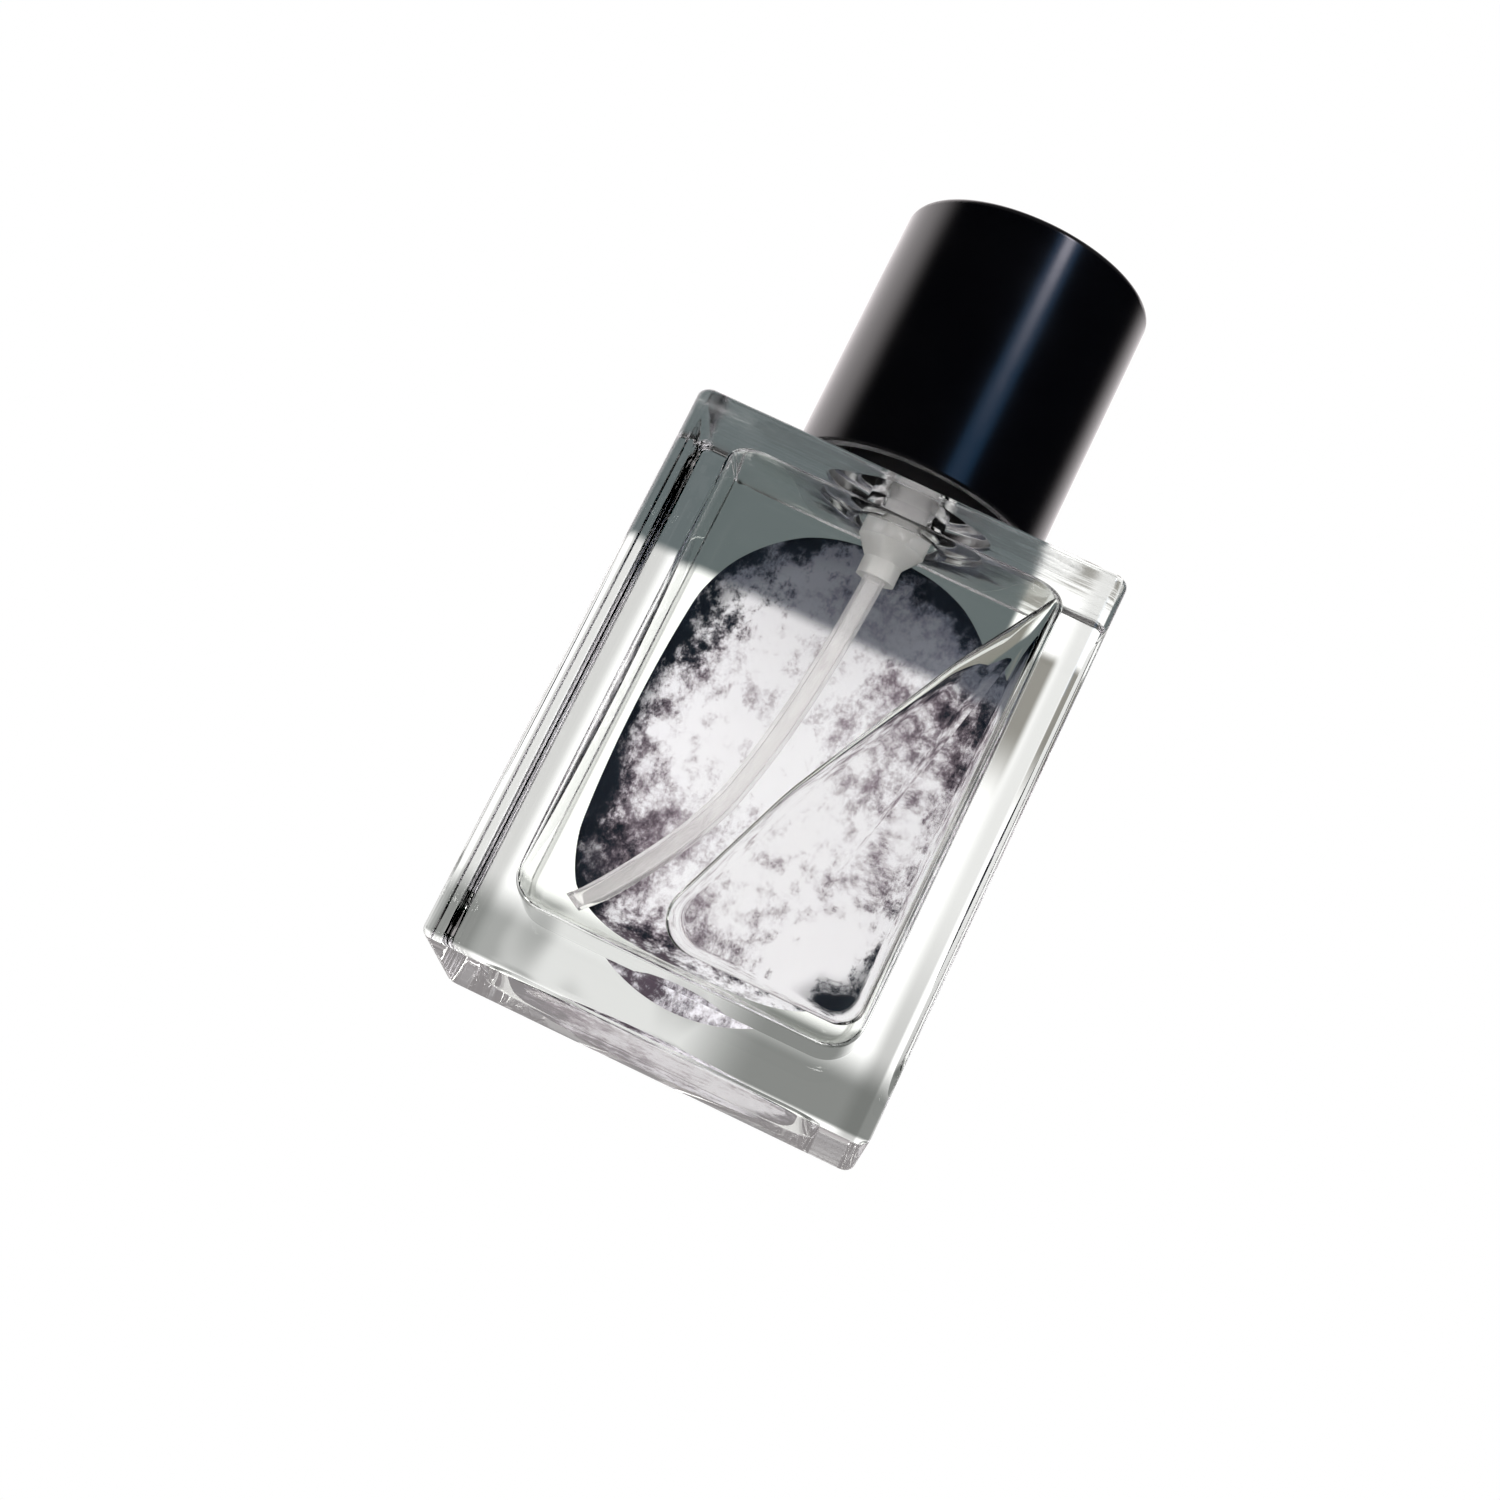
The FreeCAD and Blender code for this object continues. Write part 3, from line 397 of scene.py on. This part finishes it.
def pipe_rings(line, radius, turn):
    """Circles round a line in the plane Y = 0, square to it, as rings. The line runs downwards, and
    each circle starts on its right."""
    along = np.gradient(line, axis=0)
    along /= np.linalg.norm(along, axis=1)[:, None]
    right = np.stack([-along[:, 2], np.zeros(len(line)), along[:, 0]], axis=-1)
    ahead = np.array([0.0, 1.0, 0.0])
    circle = right[:, None] * np.cos(turn)[:, None] + ahead * np.sin(turn)[:, None]
    return line[:, None] + radius * circle


tube_turn = np.linspace(0, 2 * np.pi, 32, endpoint=False)
tube = skin("tube_of_pump", np.concatenate([
    pipe_rings(tube_line, TUBE_RADIUS, tube_turn)[::-1],
    pipe_rings(tube_line, TUBE_BORE, tube_turn),
]))


def clear_plastic(name, colour, clearness, roughness, streak):
    """Milky see-through plastic in liquid, with fine streaks along Z from its making."""
    nodes = Nodes(bpy.data.materials.new(name))
    streaks = nodes.noise(nodes.stretched(nodes.place(), (2600.0, 2600.0, streak)), detail=1.0)
    shade = nodes.blend(streaks, tuple(0.9 * part for part in colour), colour)
    return nodes.principled(Base_Color=shade, Roughness=roughness + 0.1 * streaks,
                            IOR=GLASS_IOR / LIQUID_IOR, Transmission_Weight=clearness)


tube.data.materials.append(clear_plastic("tube_polyethylene", (0.99, 0.985, 1.0), 0.78, 0.08, 60.0))
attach(tube, "bottle")
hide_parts("dip_tube")

# Aftershave: clear liquid that fills the hollow round the pump and inside the tube. A flat bubble
# of air is caught under the front wall, wider at its foot than at its tip.

FILM = 0.03
PUMP_RADIUS = 4.0
PUMP_TAPER_TOP = 63.8
PUMP_TAPER_FOOT = 61.6
SOCKET_RADIUS = 2.33
SOCKET_FOOT = 59.4
pump_outline = np.array([
    (PUMP_RADIUS + FILM, HOLLOW_TOP - FILM),
    (PUMP_RADIUS + FILM, PUMP_TAPER_TOP),
    (SOCKET_RADIUS + FILM, PUMP_TAPER_FOOT),
    (SOCKET_RADIUS + FILM, SOCKET_FOOT - FILM),
])
free_line = tube_line[tube_line[:, 2] < SOCKET_FOOT - FILM]
liquid_hull = np.concatenate([
    hollow_rings(FILM)[::-1],
    round_rings(pump_outline, column_turn),
    pipe_rings(free_line, TUBE_RADIUS + FILM, column_turn),
    pipe_rings(tube_line[::-1], -TUBE_BORE + FILM, column_turn + np.pi),
])
liquid = skin("aftershave_liquid", liquid_hull, (0, 0, HOLLOW_FLOOR + FILM), tube_line[0])

BUBBLE_DEPTH = 3.0
BUBBLE_FRONT_EDGE = 1.2
BUBBLE_BACK_EDGE = 1.6
BUBBLE_CORNERS = (
    (-5.6, 10.6, 4.0),
    (19.9, 10.6, 3.0),
    (20.0, 65.0, 0.3),
    (12.6, 52.6, 30.0),
    (2.2, 31.4, 40.0),
)
BUBBLE_MIDDLE = np.array([10.0, 20.5])
BUBBLE_INNER_RADIUS = 9.9
BUBBLE_COLUMNS = 360


def even_outline(corners, count):
    """A closed outline through rounded corners, at count evenly spaced points."""
    dense = rounded(corners, steps=40)
    dense = np.vstack([dense, dense[:1]])
    run = np.concatenate([[0], np.cumsum(np.linalg.norm(np.diff(dense, axis=0), axis=1))])
    even = np.linspace(0, run[-1], count, endpoint=False)
    return np.stack([np.interp(even, run, dense[:, axis]) for axis in (0, 1)], axis=-1)


def front_wall(x, z):
    """Where the front wall of the hollow is at a place in the front view, its rounded edges with it."""
    foot = np.clip(HOLLOW_FLOOR + HOLLOW_FLOOR_EDGE - z, 0, HOLLOW_FLOOR_EDGE)
    roof = np.clip(z - HOLLOW_TOP + HOLLOW_ROOF_EDGE, 0, HOLLOW_ROOF_EDGE)
    inset = HOLLOW_FLOOR_EDGE - np.sqrt(HOLLOW_FLOOR_EDGE ** 2 - foot ** 2)
    inset = inset + HOLLOW_ROOF_EDGE - np.sqrt(HOLLOW_ROOF_EDGE ** 2 - roof ** 2)
    radius = HOLLOW_CORNER - inset
    past = np.clip(np.abs(x) - (HOLLOW_HALF_WIDTH - HOLLOW_CORNER), 0, radius)
    return -(HOLLOW_HALF_DEPTH - HOLLOW_CORNER + np.sqrt(radius ** 2 - past ** 2))


bubble_section = rounded([
    (-8.0, 0.0, 0),
    (0.0, 0.0, BUBBLE_FRONT_EDGE),
    (0.0, BUBBLE_DEPTH, BUBBLE_BACK_EDGE),
    (-8.0, BUBBLE_DEPTH, 0),
], steps=12)
bubble_share = 1 + bubble_section[:, None, :1] / BUBBLE_INNER_RADIUS
bubble_edge = even_outline(BUBBLE_CORNERS, BUBBLE_COLUMNS)
bubble_plan = BUBBLE_MIDDLE + bubble_share * (bubble_edge - BUBBLE_MIDDLE)
wall_at_bubble = front_wall(bubble_plan[..., 0], bubble_plan[..., 1])
bubble_y = np.maximum(bubble_section[:, 1:] - HOLLOW_HALF_DEPTH, wall_at_bubble)
bubble_rings = np.stack([bubble_plan[..., 0], bubble_y + 2 * FILM, bubble_plan[..., 1]], axis=-1)
bubble_front = (BUBBLE_MIDDLE[0], 2 * FILM - HOLLOW_HALF_DEPTH, BUBBLE_MIDDLE[1])
bubble_back = (BUBBLE_MIDDLE[0], 2 * FILM + BUBBLE_DEPTH - HOLLOW_HALF_DEPTH, BUBBLE_MIDDLE[1])
bubble = skin("air_bubble", bubble_rings[::-1], bubble_back, bubble_front)


def liquid_surface(name):
    """The free surface of the liquid, at rest."""
    nodes = Nodes(bpy.data.materials.new(name))
    ripple = nodes.noise(nodes.stretched(nodes.place(), 140.0), detail=0.0)
    return nodes.principled(Base_Color=(0.99, 0.99, 0.985), Roughness=0.0, IOR=LIQUID_IOR,
                            Transmission_Weight=1.0, Normal=nodes.bump(ripple, 0.00001))


def liquid_at_wall(name):
    """The liquid where it wets a wall: no light turns there, and only its pale cast shows."""
    nodes = Nodes(bpy.data.materials.new(name))
    cast = nodes.noise(nodes.stretched(nodes.place(), 40.0), detail=0.0)
    thin = nodes.add("BsdfTransparent", {}, {"Color": (0.988, 0.990, 0.980)})
    thick = nodes.add("BsdfTransparent", {}, {"Color": (0.992, 0.994, 0.986)})
    return nodes.surface(nodes.add("MixShader", {}, {0: cast, 1: thin, 2: thick}))


liquid.data.materials.append(liquid_at_wall("liquid_at_wall"))
bubble.data.materials.append(liquid_surface("liquid_surface"))
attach(liquid, "bottle")
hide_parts("aftershave_fill")
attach(bubble, "bottle")

# Label: an oval of uncoated paper glued on the back face. The printed side is stuck to the glass
# and shows through it; the other side is bare paper with a thin ruled border.

label_low, label_high = box_mm("oval_label")
LABEL_GLUE = 0.03
LABEL_HALF_WIDTH = 20.4
LABEL_HALF_HEIGHT = (label_high[2] - label_low[2]) / 2
LABEL_MIDDLE = (label_high[2] + label_low[2]) / 2
LABEL_END = 19.5
side_radius = ((LABEL_HALF_WIDTH ** 2 + LABEL_HALF_HEIGHT ** 2 - 2 * LABEL_HALF_HEIGHT * LABEL_END)
               / (2 * (LABEL_HALF_WIDTH - LABEL_END)))


def oval(facing_angle):
    """Points of an oval of four tangent arcs, by the angle that its edge faces."""
    across, up = np.cos(facing_angle), np.sin(facing_angle)
    rise = LABEL_HALF_HEIGHT - LABEL_END
    turn = np.arctan2(rise, side_radius - LABEL_HALF_WIDTH)
    on_side = np.abs(up) <= np.sin(turn)
    x = np.where(on_side, np.sign(across) * (LABEL_HALF_WIDTH - side_radius) + side_radius * across,
                 LABEL_END * across)
    z = np.where(on_side, side_radius * up, np.sign(up) * rise + LABEL_END * up)
    return x, z


turn_at_tangent = np.arctan2(LABEL_HALF_HEIGHT - LABEL_END, side_radius - LABEL_HALF_WIDTH)
side_facing = np.linspace(-turn_at_tangent, turn_at_tangent, 30, endpoint=False)
end_facing = np.linspace(turn_at_tangent, np.pi - turn_at_tangent, 60, endpoint=False)
label_facing = np.concatenate([side_facing, end_facing, side_facing + np.pi, end_facing + np.pi])
label_x, label_z = oval(label_facing)
label_shares = np.array([0.25, 0.5, 0.75, 0.99, 1.0, 1.0, 0.99, 0.75, 0.5, 0.25])[:, None]
label_faces_y = np.repeat([label_high[1], label_low[1] - LABEL_GLUE], 5)[:, None]
label_rings = np.stack([label_shares * label_x, label_faces_y + 0 * label_x,
                        LABEL_MIDDLE + label_shares * label_z], axis=-1)
PAPER, PRINT = 0, 1
label = skin("paper_label", label_rings, (0, label_high[1], LABEL_MIDDLE),
             (0, label_low[1] - LABEL_GLUE, LABEL_MIDDLE), [PAPER] * 5 + [PRINT] * 4)


def label_oval_share(nodes):
    """About 0 at the middle of the label and 1 at its edge, from Object coordinates."""
    x, _, z = nodes.axes(nodes.place())
    across = x / (LABEL_HALF_WIDTH * MM)
    up = (z - LABEL_MIDDLE * MM) / (LABEL_HALF_HEIGHT * MM)
    return (abs(across) ** 2.2 + abs(up) ** 2.2) ** (1 / 2.2)


def marbled_print(name):
    """Speckled ink clouds in mauve on pale paper. The clouds are noise that drifts from the lower left
    to the upper right, darker away from the middle of that drift. The edge has a dark border. A blue
    grey band across the top is painted shadow, standing for the cap's shadow on the label."""
    nodes = Nodes(bpy.data.materials.new(name))
    place = nodes.place()
    x, _, z = nodes.axes(nodes.stretched(place, 1 / MM))
    rim = label_oval_share(nodes)
    clouds = nodes.noise(nodes.stretched(place, (125.0, 125.0, 95.0)), detail=3.0, roughness=0.6)
    speckle = nodes.noise(nodes.stretched(place, (520.0, 520.0, 440.0)), detail=8.0, roughness=0.78)
    drift = abs(x * 0.036 + (z - LABEL_MIDDLE) * 0.021)
    foot = z.step(12.5, 8.5)
    mauve = (clouds * 2.0 + drift * 0.8 - foot * 0.7 + (speckle - 0.5) * 2.7).step(1.08, 1.80)
    deep = (clouds * 1.4 + rim * 0.8 + drift * 0.4 + (speckle - 0.5) * 2.2).step(1.42, 1.95)
    navy = (clouds * 1.3 + rim * 1.3 - foot * 0.5 + (speckle - 0.5) * 0.9).step(1.72, 1.95)
    border = rim.step(0.84, 0.95) * z.step(10.0, 18.0) * (0.55 + 0.9 * (speckle - 0.3))
    # Painted shadow: a blue grey band across the top stands for the cap's shadow on the label.
    painted_cap_shadow = z.step(54.0, 56.0)
    colour = nodes.blend(mauve, (0.865, 0.875, 0.925), (0.30, 0.255, 0.30))
    colour = nodes.blend(deep, colour, (0.07, 0.055, 0.072))
    colour = nodes.blend(border.lowest(0.95), colour, (0.028, 0.030, 0.042))
    colour = nodes.blend(painted_cap_shadow * 0.88, colour, (0.105, 0.118, 0.155))
    colour = nodes.blend(navy, colour, (0.004, 0.009, 0.017))
    return nodes.principled(Base_Color=colour, Roughness=0.8 - 0.2 * mauve, Specular_IOR_Level=0.1)


def label_paper(name):
    """Bare paper with fibres, and a thin ruled oval inside its edge."""
    nodes = Nodes(bpy.data.materials.new(name))
    fibres = nodes.noise(nodes.stretched(nodes.place(), (700.0, 700.0, 1400.0)), detail=4.0, roughness=0.7)
    rim = label_oval_share(nodes)
    rule = rim.step(0.905, 0.910) * rim.step(0.925, 0.920)
    paper = nodes.blend(fibres, (0.74, 0.72, 0.73), (0.82, 0.80, 0.80))
    return nodes.principled(Base_Color=nodes.blend(rule * 0.85, paper, (0.10, 0.09, 0.13)),
                            Roughness=0.75 + 0.15 * fibres, Normal=nodes.bump(fibres, 0.00002))


label.data.materials.append(label_paper("label_paper"))
label.data.materials.append(marbled_print("label_print"))
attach(label, "bottle")
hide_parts("oval_label")

# Return spring: cold-drawn steel wire wound in six turns. It stands on the floor of the pump chamber
# under the poppet; in the real pump it shortens as the button is pressed.

SPRING_RADIUS = 2.1
SPRING_WIRE = 0.25
SPRING_TURNS = 6.0
spring_low, spring_high = box_mm("return_spring")
spring_share = np.linspace(0, 1, 241)
spring_turn = 2 * np.pi * SPRING_TURNS * spring_share
spring_ring = np.linspace(0, 2 * np.pi, 14, endpoint=False)
wire_out = np.stack([np.cos(spring_turn), np.sin(spring_turn), 0 * spring_turn], axis=-1)
wire_middle = SPRING_RADIUS * wire_out
spring_ends = (spring_low[2] + SPRING_WIRE, spring_high[2] - SPRING_WIRE)
wire_middle[:, 2] = np.interp(spring_share, (0, 1), spring_ends)
wire_rings = wire_middle[:, None] + SPRING_WIRE * (
    wire_out[:, None] * np.cos(spring_ring)[:, None] + np.array([0, 0, 1.0]) * np.sin(spring_ring)[:, None])
spring = skin("spring_wire", wire_rings, wire_middle[0], wire_middle[-1])


def metal(name, colour, roughness, grain, depth, coat=0.0):
    """Bare or anodised metal whose tool marks are noise stretched by grain."""
    nodes = Nodes(bpy.data.materials.new(name))
    marks = nodes.noise(nodes.stretched(nodes.place(), grain), detail=3.0)
    shade = nodes.blend(marks, tuple(0.85 * part for part in colour), colour)
    return nodes.principled(Base_Color=shade, Metallic=1.0, Roughness=roughness + 0.12 * (marks - 0.5),
                            Coat_Weight=coat, Normal=nodes.bump(marks, depth))


steel = metal("spring_steel", (0.62, 0.62, 0.63), 0.28, (900.0, 900.0, 3000.0), 0.000004)
spring.data.materials.append(steel)
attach(spring, "bottle")
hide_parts("return_spring")
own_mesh(spring)

# Pump body: the housing is moulded in clear plastic and hangs in the neck; turret, stem, piston,
# poppet and nozzle are white; ball and ferrule are metal; gasket and seal are rubber.


def finish_nodes(material, *names):
    """Gives built pieces a finished material in all their slots."""
    for name in names:
        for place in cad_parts[name].material_slots:
            place.material = material


def moulded(name, colour, roughness, grain, depth, coat=0.0):
    """Opaque moulded plastic or rubber, with a faint mottle and a grained skin."""
    nodes = Nodes(bpy.data.materials.new(name))
    place = nodes.place()
    skin_grain = nodes.noise(nodes.stretched(place, grain), detail=3.0)
    mottle = nodes.noise(nodes.stretched(place, 160.0), detail=2.0)
    shade = nodes.blend(mottle, tuple(0.88 * part for part in colour), colour)
    return nodes.principled(Base_Color=shade, Roughness=roughness + 0.1 * (mottle - 0.5), Coat_Weight=coat,
                            Coat_Roughness=0.15, Normal=nodes.bump(skin_grain, depth))


finish_nodes(clear_plastic("housing_plastic", (0.98, 0.985, 0.985), 0.68, 0.04, 200.0), "pump_housing")
finish_nodes(moulded("white_acetal", (0.82, 0.82, 0.80), 0.35, 1800.0, 0.000003),
             "pump_turret", "pump_stem", "pump_piston", "poppet_valve", "nozzle_insert")
finish_nodes(moulded("black_rubber", (0.02, 0.02, 0.021), 0.7, 2400.0, 0.000006),
             "neck_gasket", "stem_seal")
finish_nodes(metal("ball_steel", (0.56, 0.56, 0.57), 0.12, 1500.0, 0.000001), "inlet_ball")
finish_nodes(metal("drawn_aluminium", (0.80, 0.80, 0.81), 0.3, (500.0, 500.0, 5000.0), 0.000003),
             "crimp_ferrule")

# Collar and button: turned sleeves of black anodised aluminium. One is pressed over the crimp, the
# other over the black moulded core of the button.

anodised = metal("black_anodised", (0.030, 0.030, 0.034), 0.32, (300.0, 300.0, 9000.0), 0.000003, coat=0.2)
finish_nodes(anodised, "collar", "button_sleeve")
finish_nodes(moulded("button_plastic", (0.012, 0.012, 0.013), 0.45, 2000.0, 0.000006), "spray_button")

# Cap: a plain black shell, moulded and polished. A liner and a grip ring of duller plastic are
# pressed into it and hold it on the collar.

finish_nodes(moulded("cap_plastic", (0.0006, 0.0007, 0.0014), 0.18, 700.0, 0.000002), "cap_shell")
finish_nodes(moulded("liner_plastic", (0.02, 0.02, 0.021), 0.5, 1600.0, 0.000006), "cap_liner", "cap_grip")

# Floor: a pale painted table top, just under the bottle, which fades into the white surround. It is
# seen from above only and takes the bottle's shadow.

FLOOR_HALF = 600.0
FLOOR_Z = -0.3


def board(name, corners):
    """A flat board of the stage with four corners, in millimetres."""
    mesh = bpy.data.meshes.new(name)
    mesh.from_pydata(np.array(corners) * MM, [], [(0, 1, 2, 3)])
    piece = bpy.data.objects.new(name, mesh)
    bpy.context.scene.collection.objects.link(piece)
    return piece


floor = board("floor", [(-FLOOR_HALF, -FLOOR_HALF, FLOOR_Z), (FLOOR_HALF, -FLOOR_HALF, FLOOR_Z),
                        (FLOOR_HALF, FLOOR_HALF, FLOOR_Z), (-FLOOR_HALF, FLOOR_HALF, FLOOR_Z)])
floor.visible_transmission = False
floor.visible_glossy = False
nodes = Nodes(bpy.data.materials.new("pale_floor"))
x, y, _ = nodes.axes(nodes.place())
fade = ((x * x + y * y) ** 0.5).step(0.20, 0.45)
below = nodes.add("NewGeometry", {}, {}, "Backfacing")
grain = nodes.noise(nodes.stretched(nodes.place(), 300.0), detail=3.0)
tone = nodes.blend(grain, (0.90, 0.90, 0.90), (0.93, 0.93, 0.93))
paint = nodes.add("BsdfPrincipled", {}, {"Base Color": tone, "Roughness": 0.9, "Specular IOR Level": 0.0})
clear = nodes.add("BsdfTransparent", {}, {})
faded_paint = nodes.add("MixShader", {}, {0: fade.highest(below), 1: paint, 2: clear})
floor.data.materials.append(nodes.surface(faded_paint))

# Card: a pale board close behind the bottle, seen only through the glass, like the table top that
# a bottle on its back lies on. It glows with painted light, and its shades are painted: a painted
# shadow of the cap across its upper part, and painted shade by the neck, under the base, down the
# sides and across the shoulder. Its shades are placed in millimetres on the front face, as the
# camera sees them through the glass.

CARD_Y = 17.6
CARD_HALF_WIDTH = 60.0
CARD_FOOT = -40.0
CARD_TOP = 120.0
SEEN_SHIFT_X = 1.63
SEEN_SHIFT_Z = 2.42
SEEN_SCALE = 1.075
card = board("card", [(-CARD_HALF_WIDTH, CARD_Y, CARD_FOOT), (CARD_HALF_WIDTH, CARD_Y, CARD_FOOT),
                      (CARD_HALF_WIDTH, CARD_Y, CARD_TOP), (-CARD_HALF_WIDTH, CARD_Y, CARD_TOP)])
card.visible_camera = False
card.visible_diffuse = False
card.visible_glossy = False
card.visible_shadow = False
nodes = Nodes(bpy.data.materials.new("glowing_board_painted_shade"))
x, _, z = nodes.axes(nodes.stretched(nodes.place(), 1 / MM))
across = (x + SEEN_SHIFT_X) / SEEN_SCALE
up = (z - SEEN_SHIFT_Z) / SEEN_SCALE
# Painted shadow of the cap across the upper part of the board.
shade_of_cap = up.step(48.6, 50.2) * across.step(17.0, 15.8)
# Painted shade beside the neck.
shade_of_neck = across.step(13.0, 14.5) * across.step(22.8, 22.0)
shade_of_neck = shade_of_neck * up.step(37.0, 48.0) * up.step(57.5, 56.0)
# Painted shade under the base, made patchy by noise.
cloud = nodes.noise(nodes.stretched(nodes.place(), (110.0, 1.0, 60.0)), detail=1.0).step(0.42, 0.62)
shade_of_base = (across.step(-4.0, 12.0) * 0.9).highest(0.42 + 0.35 * cloud) * up.step(10.0, 5.0)
# Painted shade down the right side.
shade_of_side = across.step(21.5, 23.5) * (0.42 + 0.25 * up.step(30.0, 8.0))
tone = nodes.blend(shade_of_side, (1.3, 1.3, 1.28), (0.30, 0.30, 0.29))
# Painted shade down the left wall.
shade_of_wall = across.step(-24.2, -22.8) * across.step(-19.8, -21.4)
tone = nodes.blend(0.55 * shade_of_wall, tone, (0.27, 0.265, 0.255))
tone = nodes.blend(shade_of_base, tone, (0.13, 0.14, 0.13))
tone = nodes.blend(shade_of_neck, tone, (0.31, 0.30, 0.27))
tone = nodes.blend(shade_of_cap, tone, (0.145, 0.172, 0.176))
# Painted grey shade across the band seen through the shoulder.
shade_of_shoulder = up.step(64.0, 65.6)
tone = nodes.blend(shade_of_shoulder, tone, (0.42, 0.42, 0.43))
# The board glows: its colours are emitted as painted light, not lit by the lamps.
card.data.materials.append(nodes.surface(nodes.add("Emission", {}, {"Color": tone, "Strength": 1.0})))

# Studio: a white surround and soft lamps. The surround is plain white to the camera. Reflections and
# what is seen through the glass get their own levels by direction, and light that lands on the
# label through the glass is stronger, because the renderer loses some where paper touches glass.

LEVEL_ELSEWHERE = 0.7
LEVEL_AFTER_MANY_TURNS = 0.6
LEVEL_ON_LABEL = 2.5
world = bpy.data.worlds.new("studio")
bpy.context.scene.world = world
nodes = Nodes(world)
rays = {ray: nodes.add("LightPath", {}, {}, f"Is {ray} Ray") for ray in ("Camera", "Glossy", "Transmission")}
ahead_x, ahead_y, ahead_z = nodes.axes(nodes.add("TexCoord", {}, {}, "Generated"))
behind = (ahead_y - 0.35 * ahead_x).step(0.15, 0.62) * ahead_z.step(0.1, 0.3)
behind = behind * (0.95 - 0.3 * ahead_x)
low = (0.25 + 0.2 * ahead_y - 0.15 * ahead_x) * ahead_z.step(0.3, 0.1)
glossy = 0.001 + low + 1.5 * behind.highest(0.1 * ahead_z.step(0.5, 0.75))
aside = 0.46 - 0.18 * ahead_z.step(-0.2, -0.5) + 0.5 * ahead_z.step(0.3, 0.6)
seen = (aside + 0.7 * ahead_y.step(0.25, 0.55) + 0.7 * ahead_y.step(-0.1, -0.4)).lowest(1.15)
lit = LEVEL_ELSEWHERE + LEVEL_ON_LABEL * ahead_y.step(-0.1, -0.4)
deep = nodes.add("LightPath", {}, {}, "Ray Depth").step(4.0, 8.0)
seen = seen + (LEVEL_AFTER_MANY_TURNS - seen) * deep
bounced = nodes.add("LightPath", {}, {}, "Diffuse Depth").lowest(1.0)
through = seen + (lit - seen) * bounced
level = rays["Camera"] + rays["Transmission"] * through + rays["Glossy"] * glossy
other = 1 - (rays["Camera"] + rays["Transmission"] + rays["Glossy"])
tint = nodes.blend(rays["Glossy"], (1.0, 1.0, 1.0), (1.0, 0.94, 0.95))
light = nodes.add("VectorMath", {"operation": "SCALE"}, {0: tint, "Scale": level + other * LEVEL_ELSEWHERE})
nodes.surface(nodes.add("Background", {}, {"Color": light, "Strength": 1.0}))


def lamp(name, place, size, power, colour, target=(0.0, 0.0, 0.05)):
    """A soft rectangular lamp that faces a target. Sizes in metres, power in watts."""
    light = bpy.data.lights.new(name, "AREA")
    light.shape = "RECTANGLE"
    light.size, light.size_y = size
    light.energy = power
    light.color = colour
    holder = bpy.data.objects.new(name, light)
    holder.location = place
    towards = np.array(target) - np.array(place)
    holder.rotation_euler = Vector(towards).to_track_quat("-Z", "Y").to_euler()
    holder.visible_camera = False
    bpy.context.scene.collection.objects.link(holder)
    return holder


key = lamp("key", (0.35, -0.45, 0.6), (0.5, 0.5), 5.0, (1.0, 0.99, 0.97))
key.visible_glossy = False
for name, place, size, power, colour in (
    ("streak", (0.222, -0.481, 0.47), (0.085, 0.25), 0.7, (1.0, 0.93, 1.0)),
    ("streak_halo", (0.222, -0.481, 0.36), (0.20, 0.30), 0.22, (0.08, 0.42, 0.95)),
):
    strip = lamp(name, place, size, power, colour, (0.0, 0.0, 0.087))
    strip.visible_diffuse = False
    strip.visible_transmission = False

# Camera: close in front of the bottle and a little below it, turned so that the bottle leans in the
# picture. Its place, turn and lens come from fitting the block's and cap's edges to the photograph.

CAMERA_PLACE = (0.021721, -0.298782, -0.032281)
CAMERA_TURN = (104.3577, -25.5855, -1.2852)
LENS = 65.455
LIGHT_TURNS = 32
camera_data = bpy.data.cameras.new("camera")
camera_data.sensor_width = 36.0
camera_data.lens = LENS
camera_data.clip_start = 0.01
camera = bpy.data.objects.new("camera", camera_data)
camera.location = CAMERA_PLACE
camera.rotation_euler = Euler(np.radians(CAMERA_TURN))
bpy.context.scene.collection.objects.link(camera)
bpy.context.scene.camera = camera
bpy.context.scene.view_settings.view_transform = "Standard"
bpy.context.scene.cycles.max_bounces = LIGHT_TURNS
bpy.context.scene.cycles.transmission_bounces = LIGHT_TURNS
bpy.context.scene.cycles.transparent_max_bounces = LIGHT_TURNS
